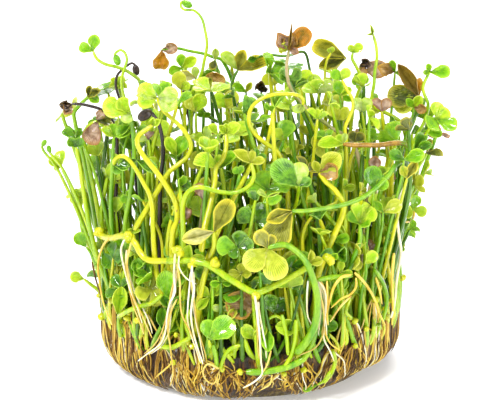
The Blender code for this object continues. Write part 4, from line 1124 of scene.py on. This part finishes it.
# The small leaves in sight.
# Smaller leaves that the view shows one by one, between those that have solids. Each is a thin stalk
# from the mat with one to four leaflets or a bud, given in the same way as the larger ones.
SMALL_LEAVES = (
    # Coiled tips at the far left, and leaves high up, from the left.
    Leaf(((44, 143), (42, 147), (45, 153), (52, 161), (60, 174)), (-3, -3), (-29.5, -4), (), "lime", "green",
         "bud", lift=0),
    Leaf(((49, 149), (50, 153), (55, 159), (62, 168)), (-5, -5), (-29, -6), (), "lime", "green", "bud",
         lift=0),
    Leaf(((76, 139), (84, 147), (92, 165)), (-5, -5), (-27, -5), ((150, 3.6), (60, 2.4)), "green",
         "deep deep", facing=HALF_UP),
    Leaf(((136, 128), (130, 133), (124, 150)), (-9, -9), (-23, -9), ((200, 4.6), (340, 3)), "green",
         "green green", facing=RAISED),
    Leaf(((148, 140), (150, 150), (152, 180)), (-12, -12), (-20, -14), ((170, 3.2), (80, 2.6)), "lime",
         "pale pink", facing=RAISED),
    Leaf(((176, 156), (178, 175), (180, 200)), (-14, -12), (-13, -10), ((115, 4.6), (65, 4.6)), "green",
         "lime green", lift=8),
    Leaf(((196, 112), (196, 125), (198, 150)), (0, 0), (-10, 2), ((120, 3.8), (70, 4.4)), "lime",
         "yellow lime", "round", lift=8),
    Leaf(((208, 142), (210, 155), (212, 170)), (-10, -10), (-8, -10), ((160, 3.2), (95, 3.6)), "yellow",
         "lime pale", facing=RAISED),
    Leaf(((182, 68), (184, 76), (188, 95)), (12, 12), (-12, 14), ((95, 3.2), (35, 4.0), (200, 3.4)), "green",
         "green lime green", lift=8),
    Leaf(((196, 78), (194, 90), (192, 110)), (8, 9), (-12, 10), ((170, 4.4), (95, 2.6)), "lime", "cream pale",
         lift=8),
    Leaf(((181, 90), (183, 100), (185, 120)), (2, 3), (-13, 5), ((100, 4.2), (40, 2.6)), "yellow",
         "yellow lime", "round", lift=8),
    Leaf(((215, 60), (218, 72), (220, 95)), (18, 18), (-6, 18), ((85, 2.8), (250, 2.6)), "green",
         "pale olive", lift=8),
    Leaf(((226, 108), (227, 118), (228, 140)), (8, 8), (-4, 8), ((60, 4.4), (130, 4.0)), "lime",
         "yellow lime", "round", lift=8),
    Leaf(((246, 92), (247, 105), (249, 125)), (14, 14), (0, 14), ((150, 3.4), (60, 2.6)), "deep",
         "green yellow", lift=8),
    Leaf(((304, 88), (305, 100), (307, 120)), (6, 6), (12, 6), ((80, 4.2), (30, 4.4), (140, 3.2)), "lime",
         "lime pale lime", "round", lift=8),
    Leaf(((340, 96), (341, 108), (342, 130)), (-2, -2), (18, -2), ((100, 3.4), (35, 3.0)), "green",
         "green lime", lift=8),
    Leaf(((395, 72), (394, 84), (392, 105)), (6, 6), (28, 6), ((165, 4.4), (110, 2.8), (350, 2.4)), "green",
         "tan green green", lift=8),
    Leaf(((414, 108), (412, 118), (405, 138)), (0, 0), (28.5, 0), ((60, 3.2), (130, 2.8), (350, 3.4)),
         "green", "lime green tan", lift=8),
    Leaf(((424, 131), (418, 142), (408, 162)), (-4, -4), (28, -6), ((40, 4.2), (350, 4.0)), "green",
         "deep green", lift=8),
    Leaf(((257, 58), (264, 55), (287, 56), (304, 52), (309, 66), (311, 82)), (20, 20), (12, 20),
         ((195, 2.2),), "deep", "deep", lift=8),
    Leaf(((331, 53), (327, 60), (325, 73), (326, 92)), (14, 14), (16, 14), ((70, 1.5), (125, 1.3)), "yellow",
         "lime lime", "round", lift=8),
    Leaf(((318, 93), (320, 105), (322, 130)), (2, 2), (16, 2), ((150, 3.8), (95, 3.4), (30, 4.2)), "lime",
         "lime lime pale", "fan", facing=HALF_UP, lift=8),
    Leaf(((362, 112), (364, 125), (366, 150)), (-6, -6), (22, -6), ((62, 3.4), (118, 3.4)), "lime",
         "pale pale", "round"),
    Leaf(((284, 112), (286, 122), (290, 140)), (-2, -2), (9, -2), ((150, 3.2), (60, 2.6)), "green",
         "yellow lime", facing=RAISED),
    Leaf(((284, 140), (280, 152), (276, 170)), (-12, -12), (6, -10), ((80, 4.4), (140, 3.2)), "green",
         "green lime", "fan"),
    # The right side.
    Leaf(((374, 190), (372, 205), (368, 225)), (-20, -19), (24, -18), ((95, 5.2), (35, 3.6)), "green",
         "deep green", "round"),
    Leaf(((372, 171), (370, 185), (366, 205)), (-15, -15), (23, -14), ((75, 3.6),), "tan", "pink", "dead"),
    Leaf(((407, 178), (404, 190), (398, 215)), (-19, -18), (26, -14), ((62, 4.2), (115, 3)), "yellow",
         "rimmed yellow"),
    Leaf(((404, 160), (402, 175), (396, 200)), (-19, -18), (25, -15), ((20, 4.6), (150, 3.6)), "green",
         "green deep"),
    Leaf(((414, 152), (408, 165), (400, 190)), (-12, -12), (27, -12), ((20, 4.2), (60, 4.8)), "green",
         "deep deep", facing=RAISED),
    Leaf(((383, 212), (382, 225), (378, 245)), (-19, -19), (25, -17), ((28, 4.4), (130, 3.2)), "green",
         "yellow green"),
    Leaf(((413, 209), (408, 222), (400, 242)), (-6, -8), (29, -8), ((72, 3.2), (345, 3.2)), "green",
         "green lime", "round"),
    Leaf(((366, 264), (366, 275), (362, 290)), (-23, -23), (23, -19), ((50, 3.4),), "green", "lime", "round"),
    Leaf(((333, 241), (330, 255), (322, 280)), (-22, -22), (14, -20), ((300, 5.4), (15, 3.6)), "green",
         "deep green"),
    Leaf(((318, 258), (312, 270), (306, 290)), (-27, -26), (11, -24), ((188, 6.2), (20, 3.6)), "green",
         "green deep"),
    # The middle.
    Leaf(((238, 248), (240, 262), (243, 284)), (-31, -29), (-1, -27),
         ((170, 4.6), (80, 3.8), (20, 3.6), (230, 2.6)), "green", "green wet wet deep", "fan", lift=8),
    Leaf(((256, 222), (257, 236), (258, 258)), (-28, -26), (1.5, -24), ((150, 4.4), (60, 4.4), (350, 3.4)),
         "green", "wet wet deep", "fan", lift=8),
    Leaf(((267, 197), (267, 204), (268, 214)), (-31.5, -30), (3, -25), ((142, 2.4), (20, 2.8)), "lime",
         "pale pale", "rolled"),
    Leaf(((137, 160), (138, 175), (140, 200)), (-17, -16), (-19, -16), ((205, 4.4), (325, 5.2)), "deep",
         "wet wet", facing=RAISED),
    Leaf(((203, 199), (202, 210), (200, 230)), (-24, -22), (-9, -20), ((112, 3.6),), "tan", "pink", "dead"),
    Leaf(((178, 224), (180, 235), (180, 250)), (-24, -23), (-14, -20), ((62, 4.2), (120, 2.6)), "green",
         "pink wet", "dead"),
    # Low in front, behind the hanging roots.
    Leaf(((86, 247), (90, 252), (95, 262), (101, 276)), (-3, -3), (-29, -3), ((124, 3.8),), "green", "green",
         "round"),
    Leaf(((102, 252), (104, 264), (107, 280)), (-9, -9), (-28, -9), ((305, 4.2),), "green", "deep", "round"),
    Leaf(((116, 213), (117, 225), (118, 245)), (-8, -8), (-26, -8), ((85, 3.6),), "lime", "lime", "round"),
    Leaf(((118, 316), (119, 326), (121, 336)), (-19, -19), (-26, -15), ((82, 6.4),), "lime", "lime"),
    Leaf(((139, 277), (139, 290), (140, 310)), (-23, -23), (-21, -19), ((95, 4.2),), "green", "wet"),
    Leaf(((180, 252), (178, 265), (175, 285)), (-23, -22), (-15, -20), ((172, 3.6), (95, 3.2)), "green",
         "wet wet", "fan"),
    Leaf(((168, 298), (169, 312), (171, 326)), (-27, -27), (-16.5, -25), ((95, 6.0),), "green", "green"),
    Leaf(((163, 331), (164, 338), (166, 345)), (-27, -27), (-17, -26), ((92, 5.2),), "green", "deep"),
    Leaf(((187, 319), (188, 328), (190, 338)), (-28, -28), (-13, -27), ((88, 5.4),), "green", "deep"),
    Leaf(((228, 319), (230, 328), (232, 338)), (-28, -28), (-4, -27), ((128, 4.4), (52, 4.4)), "green",
         "deep wet", "fan"),
    Leaf(((222, 311), (230, 313), (238, 322), (243, 334)), (-31, -31), (-1.5, -29.5),
         ((150, 2.4), (35, 2.0), (275, 2.6)), "lime", "pale pale pale"),
    Leaf(((240, 350), (242, 356), (244, 360)), (-30.5, -30.5), (-1.3, -30), ((96, 5.8),), "green", "green",
         "round"),
    Leaf(((262, 303), (265, 315), (268, 335)), (-28.5, -28.5), (3.6, -27.5), ((184, 8.4),), "tan", "tan",
         "dead"),
    Leaf(((275, 313), (277, 322), (279, 336)), (-28, -28), (6, -27), ((118, 4.6), (50, 3.8)), "green",
         "wet deep", "fan"),
    Leaf(((266, 327), (268, 320), (276, 316), (283, 321), (287, 336), (288, 352)), (-31.5, -31.5), (8, -29.5),
         ((276, 5.4),), "lime", "green"),
    Leaf(((303, 328), (300, 338), (296, 352)), (-30.5, -30.5), (10, -28.5), ((176, 6.0),), "lime", "lime"),
    Leaf(((317, 385), (324, 381), (330, 372)), (-28.4, -31.0), None, ((182, 3.6),), "lime", "green", "round"),
)

SMALL_SEED = 41
SMALL_RADIUS = 0.5
SMALL_TAPER = 0.6
SMALL_BUD = (0.85, 0.6, 0.55)
chance = random.Random(SMALL_SEED)
growth = Growth()
small_heads = []
for leaf in SMALL_LEAVES:
    line = stalk_line(leaf, 0, front_stem)
    small_heads.append(line[-1])
    crowd.add(leaf_samples(line[-1], leaf))
    growth.add_stalk(line, SMALL_RADIUS, SMALL_TAPER, leaf.stalk)
    if not leaf.leaves:
        growth.buds.append((line, SMALL_BUD, leaf.looks))
    growth.add_head(line[-1], leaf.facing, leaf.lift, leaf.leaves, leaf.looks.split(), leaf.form)
growth.finish(chance, BLADE_CUTS, THIN_ROUNDNESS, "small_leaves")


# The leaves between.
# Finer growth fills the clump round the leaves that have solids: more thin stalks with small clovers
# and opening leaves. Each keeps close to one host leaf, and doesn't hide a named one from the camera.
COMPANION_SEED = 17
COMPANION_CUTS = (4, 6)
COMPANION_RADIUS = (0.46, 0.68)
COMPANION_TRIES = 24
COMPANION_LENGTHS = (2.6, 5.2)
COMPANION_OFFSETS = (2.0, 5.5)
COMPANION_TAPER = 0.7
COMPANION_FORMS = ("fan", "round", "folded", "folded")
COMPANION_LIFTS = (5, 50)
COMPANION_LOWEST = MAT_HEIGHT + 5
# How far in the picture a companion keeps off a named head, a small one and a thick stalk behind it.
HIDING_DISTANCES = (15, 9, 12)
GUARD_SPACING = 4
GUARD_LOWEST = 2 * MAT_HEIGHT
# Where on its host a companion grows, as shares of the host's length, and how they lean to its top.
HOST_SHARES = (0.35, 0.999)
HOST_POWER = 0.6
STEM_HOST_OFFSET = Vector((0, 3, 0))
OFFSET_RISE = 0.5
FOOT_SCATTER = 3.5
FOOT_SINK = 0.5
COMPANION_FOOT_REACH = 29.5
# A stalk's sway, and where along the stalk how much of it shows.
SWAY = 2.5
SWAY_SHARES = ((0.35, 0.5), (0.7, 1))
FACING_ACROSS = (-0.9, 0.9)
FACING_BACK = (-1.0, 0.7)
FACING_UP = (0.1, 1)
# Companions that grow in front of this place have leaflets shortened to this share.
FRONT = -18
FRONT_LENGTH = 0.8
LEAFLET_COUNTS = (2, 3, 4, 4)
LEAFLET_TURN = 14
LEAFLET_SHARES = (0.8, 1.0)
CLUMP_REACH = 31.0
CLUMP_FLARE = 0.25
CLUMP_DEPTH_SHARE = 0.85

# Where a stand's host leaves have their heads, left and right in millimetres, how many leaves each
# host gets, and their looks.
STANDS = {
    "left": (-60, -24, 5, "green lime lime deep yellow pale green"),
    "left_middle": (-24, -8, 6, "green lime lime wet yellow tan green"),
    "middle": (-8, 8, 7, "green lime lime wet deep yellow"),
    "right_middle": (8, 24, 8, "green lime lime wet yellow olive green"),
    "right": (24, 60, 7, "green lime lime deep yellow pink olive"),
}


def shown(place):
    """Where a place shows in the view, in picture points, and its distance from the eye."""
    ray = place - eye
    depth = ray.dot(forward)
    picture = Vector((VIEW_MIDDLE[0] + VIEW_FOCUS * ray.x / depth,
                      VIEW_MIDDLE[1] - VIEW_FOCUS * ray.dot(picture_up) / depth))
    return picture, depth


def in_clump(head):
    """Whether a head is inside the clump's outline, which flares upwards and has a domed top."""
    reach = CLUMP_REACH + CLUMP_FLARE * (head.z - MAT_HEIGHT)
    out = math.hypot(head.x / reach, head.y / (reach * CLUMP_DEPTH_SHARE))
    return out < 1 and COMPANION_LOWEST < head.z < CANOPY_TOP - CANOPY_EDGE_DROP * out ** 2


def hides_named(head):
    """Whether a head would stand in the view close before a leaf or stalk that has to be seen."""
    picture, depth = shown(head)
    return any((picture - other).length < near and depth < far for (other, far), near in named_heads)


def companion(chance, host):
    """A leaf near its host: the way it faces, its leaflets, and its stalk's line from the foot up."""
    near = host[int(chance.uniform(*HOST_SHARES) ** HOST_POWER * len(host))]
    way = Vector((chance.gauss(0, 1), chance.gauss(0, 1), chance.gauss(0, OFFSET_RISE))).normalized()
    head = near + way * chance.uniform(*COMPANION_OFFSETS)
    scatter = Vector((chance.uniform(-1, 1), chance.uniform(-1, 1), 0)) * FOOT_SCATTER
    foot = Vector((host[0].x, host[0].y, MAT_HEIGHT - FOOT_SINK)) + scatter
    foot.xy *= min(1, COMPANION_FOOT_REACH / foot.xy.length)
    sway = Vector((chance.uniform(-SWAY, SWAY), chance.uniform(-SWAY, SWAY), 0))
    line = smooth([foot, *(foot.lerp(head, share) + sway * part for share, part in SWAY_SHARES), head])
    facing = (head.x * HEAD_TILT + chance.uniform(*FACING_ACROSS), chance.uniform(*FACING_BACK),
              chance.uniform(*FACING_UP))
    spin = chance.uniform(0, 90)
    length = chance.uniform(*COMPANION_LENGTHS) * (FRONT_LENGTH if near.y < FRONT else 1)
    leaves = tuple((spin + 90 * i + chance.uniform(-LEAFLET_TURN, LEAFLET_TURN),
                    length * chance.uniform(*LEAFLET_SHARES))
                   for i in range(chance.choice(LEAFLET_COUNTS)))
    return Head(facing, 0, leaves), line


chance = random.Random(COMPANION_SEED)
hosts.append([place + STEM_HOST_OFFSET for place in front_stem])
named_heads = [(shown(head), HIDING_DISTANCES[0]) for head in heads[:len(LEAVES)]]
named_heads += [(shown(head), HIDING_DISTANCES[1]) for head in small_heads]
for line in guards:
    named_heads += [(shown(place), HIDING_DISTANCES[2]) for place in line[::GUARD_SPACING]
                    if place.z > GUARD_LOWEST]
for name, (left, right, number, blade_looks) in STANDS.items():
    growth = Growth()
    for host in (host for host in hosts if left <= host[-1].x < right):
        for _ in range(number):
            tries = (companion(chance, host) for _ in range(COMPANION_TRIES))
            found = next((t for t in tries if in_clump(t[1][-1]) and not hides_named(t[1][-1])
                          and crowd.free(leaf_samples(t[1][-1], t[0]))), None)
            if not found:
                continue
            leaf, line = found
            crowd.add(leaf_samples(line[-1], leaf))
            radius = chance.uniform(*COMPANION_RADIUS)
            growth.add_stalk(line, radius, COMPANION_TAPER, chance.choice(FRESH_STALKS))
            form = chance.choice(COMPANION_FORMS)
            looks = [chance.choice(blade_looks.split())] * len(leaf.leaves)
            lift = chance.uniform(*COMPANION_LIFTS)
            growth.add_head(line[-1], leaf.facing, lift, leaf.leaves, looks, form)
    growth.finish(chance, COMPANION_CUTS, THIN_ROUNDNESS, f"stand_{name}")


# The growth on the rim.
# Stalks start on the mat's wall and lean in over its upper edge, all the way round, with small leaves
# on them. They are wet and mostly dark green. A few thick runners arch over the front.
RIM_SEED = 23
RIM_STALKS = 160
RIM_RADII = (0.38, 0.62)
RIM_TAPER = 0.6
RIM_LEAN = 0.13
RIM_SINK = -0.2
# The heights at which rim stalks leave the wall, and those of their heads, with how far out these are.
RIM_FEET = (8.5, 11.8)
RIM_TOPS = (14, 32)
RIM_REACHES = (28.5, 32.5)
# Where they pass over the mat's upper edge, and how much of their lean they have there.
RIM_PASS = (32.5, 12.8)
PASS_LEAN = 0.3
RIM_FACING = (-0.5, 0.5)
RIM_LENGTHS = (2.2, 4.4)
RIM_COUNTS = (1, 2, 2, 3, 4)
RIM_TURN = 15
RIM_FORMS = ("fan", "folded", "folded")
RIM_LIFTS = (0, 40)
RUNNER_TAPER = 0.8
# The edge's wear and its arch: the angle of its middle, its width and how far it is raised.
WORN_EDGE = (math.radians(-38), math.radians(22), 2.2)
ARCHED_EDGE = (math.radians(-82), math.radians(7), 3.0)
EDGE_FADES_AT = 8.0
RIM_LOOKS = "deep green wet lime deep green lime yellow"
# The look, radius and line in picture points of each runner.
RIM_RUNNERS = (
    ("lime", 0.62, ((162, 347), (173, 347), (184, 341), (190, 337), (187, 328), (187, 318), (190, 310))),
    ("lime", 0.6, ((118, 317), (130, 310), (141, 306), (152, 303), (162, 295))),
    ("green", 0.6, ((318, 280), (334, 277), (352, 276))),
    ("lime", 0.5, ((333, 351), (335, 362), (331, 374), (324, 383))),
    ("lime", 0.5, ((282, 315), (286, 334), (288, 355))),
    ("lime", 0.55, ((296, 320), (295, 341), (290, 358), (283, 368))),
    ("green", 0.6, ((213, 345), (216, 357), (217, 368))),
    ("lime", 0.5, ((240, 345), (229, 350), (223, 360), (221, 368))),
    ("lime", 0.45, ((350, 298), (346, 312), (352, 318))),
    ("green", 0.5, ((375, 270), (384, 285), (387, 300), (383, 322))),
)


def wall_radius(height):
    """The mat's outer radius at a height, down its wall and round its lower edge."""
    rounding = math.sqrt(max(0, 1 - (1 - min(1, height / MAT_WALL_FOOT)) ** 2))
    return MAT_FLAT_RADIUS + (MAT_RADIUS - MAT_FLAT_RADIUS) * rounding


def around(angle, radius, height):
    """A place at an angle round the mat's middle."""
    return Vector((radius * math.cos(angle), radius * math.sin(angle), height))


def on_wall(angle, stand, height):
    """A place on the mat's wall, whose lower edge is worn at the front right and arched in front."""
    worn = (top * math.exp(-((angle - middle) / width) ** 2)
            for middle, width, top in (WORN_EDGE, ARCHED_EDGE))
    lifted = height + sum(worn) * max(0, 1 - height / EDGE_FADES_AT)
    return around(angle, wall_radius(height) + stand, lifted)


chance = random.Random(RIM_SEED)
growth = Growth()
for _ in range(RIM_STALKS):
    angle = chance.uniform(-math.pi, math.pi)
    lean = chance.gauss(0, RIM_LEAN)
    low = chance.uniform(*RIM_FEET)
    top = chance.uniform(*RIM_TOPS)
    reach = chance.uniform(*RIM_REACHES)
    line = smooth([on_wall(angle, RIM_SINK, low), around(angle + lean * PASS_LEAN, *RIM_PASS),
                   around(angle + lean, reach, top)])
    radius = chance.uniform(*RIM_RADII)
    growth.add_stalk(line, radius, RIM_TAPER, chance.choice(FRESH_STALKS))
    out = line[-1].normalized()
    facing = (out.x + chance.uniform(*RIM_FACING), out.y + chance.uniform(*RIM_FACING), chance.uniform(0, 1))
    length = chance.uniform(*RIM_LENGTHS)
    spin = chance.uniform(0, 90)
    leaves = tuple((spin + 90 * i + chance.uniform(-RIM_TURN, RIM_TURN), length)
                   for i in range(chance.choice(RIM_COUNTS)))
    looks = [chance.choice(RIM_LOOKS.split())] * len(leaves)
    form = chance.choice(RIM_FORMS)
    growth.add_head(line[-1], facing, chance.uniform(*RIM_LIFTS), leaves, looks, form)
for look, radius, route in RIM_RUNNERS:
    line = smooth([on_face(*p, BUNDLE_FACE) for p in route])
    growth.add_stalk(line, radius, RUNNER_TAPER, look)
growth.finish(chance, COMPANION_CUTS, THIN_ROUNDNESS, "rim_growth")


# The single roots.
# Fine wet roots run down the mat's wall and over its top, fan out from knots and hang free beside the
# clump. The young ones are white or cream, most are yellow, and the oldest are brown.
ROOT_SEED = 7
FINE_ROUNDNESS = 0
ROOT_END = 0.1
# How often a root has each of the looks, from white to brown.
MATTED_SHARES = (0, 1, 1, 4, 8)
TOP_SHARES = (0, 1, 1, 2, 8)
FAN_SHARES = (1, 2, 3, 6, 5)
# The roots that are matted on the wall: the heights of their upper and lower ends, how far they
# stand off the wall, and how steeply they tuck in over the mat's upper edge.
MATTED_ROOTS = 250
MATTED_TOPS = (6, 13)
MATTED_LOWS = (0.35, 0.5, 2, 4)
MATTED_STANDS = (-0.1, 0.35)
MATTED_RADII = (0.14, 0.3)
MATTED_POINTS = 16
MATTED_SWAY = 0.014
TUCK = 1.2
TUCK_BELOW_TOP = 0.5
# The roots that lie on the mat's top.
TOP_ROOTS = 90
TOP_RADII = (0.3, 0.15)
TOP_PLACES = (-20, 20)
TOP_STAND = 0.1
TOP_RISES = (0.2, 1.8)
TOP_POINTS = 9
TOP_SWAY = 0.6
# The fans of roots that start from a knot, the random ones of them at these heights.
RANDOM_FANS = 30
FAN_HEIGHTS = (9, 19)
FAN_ROOTS = (6, 12)
FAN_FACE = 33.2
FAN_KNOTS = (0.5, 0.8)
FAN_SPREAD = 0.12
FAN_BEND = 0.6
FAN_LOWS = (0.5, 1, 3, 5)
FAN_LEAST_DROP = 3
FAN_STANDS = (0.1, 0.6)
FAN_RADII = (0.16, 0.26)
FAN_POINTS = 18
FAN_SWAY = 0.01
HANGING_FACE = 34.9
HANGING_TAPER = 0.6

# In picture points: where a fan of roots starts, and the look, radius and line of each root that hangs.
ROOT_FANS = (
    (120, 322), (127, 318), (137, 320), (188, 343), (192, 346), (222, 369), (218, 366), (262, 374),
    (298, 356), (350, 318), (355, 321), (376, 300), (332, 352), (160, 346), (392, 300), (112, 300),
    (240, 372), (284, 374), (304, 370),
)
HANGING_ROOTS = (
    ("white", 0.26, ((124, 240), (121, 250), (124, 267), (130, 289), (138, 309), (142, 323))),
    ("cream", 0.24, ((131, 243), (127, 264), (130, 284), (135, 301), (141, 313), (152, 338))),
    ("white", 0.26, ((175, 254), (174, 278), (175, 292), (170, 303), (167, 317), (166, 329), (161, 343),
                     (147, 354), (138, 361))),
    ("white", 0.2, ((179, 256), (179, 267), (186, 278), (196, 284))),
    ("cream", 0.24, ((177, 264), (180, 284), (180, 296), (182, 315), (189, 329), (193, 338))),
    ("cream", 0.22, ((177, 299), (172, 309), (169, 320), (168, 331), (170, 345), (172, 362), (173, 376),
                     (170, 386))),
    ("white", 0.28, ((192, 266), (192, 278), (194, 287), (192, 303), (191, 315), (193, 331), (196, 343),
                     (203, 364))),
    ("gold", 0.3, ((109, 238), (103, 246), (99, 258), (98, 268), (100, 285), (104, 305), (112, 325))),
    ("bark", 0.25, ((92, 262), (96, 280), (104, 305))),
    ("gold", 0.35, ((351, 275), (342, 277), (335, 285), (330, 299), (327, 313), (328, 325))),
    ("gold", 0.35, ((355, 273), (363, 281), (373, 296), (380, 315), (385, 325))),
    ("gold", 0.28, ((356, 278), (356, 287), (351, 294), (341, 299), (331, 308))),
    ("cream", 0.28, ((351, 296), (341, 306), (330, 322))),
    ("white", 0.26, ((319, 282), (324, 289), (326, 306), (324, 327), (324, 339), (330, 351), (334, 361))),
    ("cream", 0.26, ((317, 287), (323, 306), (324, 320), (323, 334), (316, 347), (300, 355))),
    ("gold", 0.26, ((327, 281), (327, 306), (324, 326), (330, 343), (341, 351))),
    ("white", 0.22, ((308, 281), (307, 299), (308, 317), (312, 326), (311, 336))),
    ("white", 0.3, ((255, 296), (258, 320), (260, 341), (261, 362), (262, 374), (254, 382), (243, 388))),
    ("cream", 0.24, ((271, 351), (267, 365), (262, 374))),
    ("cream", 0.22, ((272, 375), (270, 384), (261, 390))),
    ("gold", 0.3, ((376, 278), (380, 292), (382, 304))),
    ("white", 0.42, ((404, 188), (397, 208), (399, 236), (401, 253), (397, 278), (394, 306), (391, 318))),
    ("gold", 0.4, ((394, 253), (392, 278), (393, 306), (392, 325))),
    ("gold", 0.4, ((406, 186), (413, 198), (414, 214), (403, 223))),
    ("cream", 0.26, ((219, 369), (208, 364), (203, 371), (206, 380), (213, 384), (218, 378))),
)


def falling(chance, angle, top, low, stand, count, sway, tuck=0, spread=0):
    """A root down the wall from one height to another, of so many points. It sways, tucks in over the
    mat's upper edge and spreads to its side."""
    points = []
    for i, drift in enumerate(wander(chance, count, sway)):
        share = i / (count - 1)
        height = top + (low - top) * share
        inside = tuck * max(0, height - MAT_HEIGHT + TUCK_BELOW_TOP)
        points.append(on_wall(angle + drift + spread * share ** FAN_BEND, stand - inside, height))
    return points


def any_root(chance, shares):
    """One of the roots' looks, drawn by their shares."""
    return chance.choices(range(len(root_materials)), shares)[0]


chance = random.Random(ROOT_SEED)
tubes = []
for _ in range(MATTED_ROOTS):
    angle = chance.uniform(-math.pi, math.pi)
    top = chance.uniform(*MATTED_TOPS)
    low = chance.choice(MATTED_LOWS)
    stand = chance.uniform(*MATTED_STANDS)
    line = falling(chance, angle, top, low, stand, MATTED_POINTS, MATTED_SWAY, tuck=TUCK)
    tubes.append((line, (chance.uniform(*MATTED_RADII), ROOT_END), any_root(chance, MATTED_SHARES)))
for _ in range(TOP_ROOTS):
    angle = chance.uniform(0, 2 * math.pi)
    start = Vector((chance.uniform(*TOP_PLACES), chance.uniform(*TOP_PLACES), MAT_HEIGHT + TOP_STAND))
    way = Vector((math.cos(angle), math.sin(angle), 0))
    side = Vector((-way.y, way.x, 0))
    rise = chance.uniform(*TOP_RISES)
    points = []
    for i, drift in enumerate(wander(chance, TOP_POINTS, TOP_SWAY)):
        lift = Vector((0, 0, rise * math.sin(math.pi * i / (TOP_POINTS - 1))))
        points.append(start + way * i + side * drift + lift)
    tubes.append((points, TOP_RADII, any_root(chance, TOP_SHARES)))
tube_piece("mat_roots", tubes, FINE_ROUNDNESS, root_materials, "root")

fans = [on_face(*p, FAN_FACE) for p in ROOT_FANS]
for _ in range(RANDOM_FANS):
    fans.append(around(chance.uniform(0, 2 * math.pi), FAN_FACE, chance.uniform(*FAN_HEIGHTS)))
tubes = []
bm = bmesh.new()
for start in fans:
    angle = math.atan2(start.y, start.x)
    add_knot(bm, start, chance.uniform(*FAN_KNOTS), chance)
    for _ in range(chance.randint(*FAN_ROOTS)):
        spread = chance.gauss(0, FAN_SPREAD)
        low = min(chance.choice(FAN_LOWS), start.z - FAN_LEAST_DROP)
        stand = chance.uniform(*FAN_STANDS)
        line = falling(chance, angle, start.z, low, stand, FAN_POINTS, FAN_SWAY, spread=spread)
        tubes.append((line, (chance.uniform(*FAN_RADII), ROOT_END), any_root(chance, FAN_SHARES)))
piece("root_knots", bm, stalk_materials, "yellow")
for look, radius, route in HANGING_ROOTS:
    line = smooth([on_face(*p, HANGING_FACE) for p in route])
    tubes.append(tapered(line, radius, HANGING_TAPER, root_look(look)))
tube_piece("loose_roots", tubes, THIN_ROUNDNESS, root_materials, "root")


[[list(corner) for corner in box] for box in (cad_box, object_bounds())]
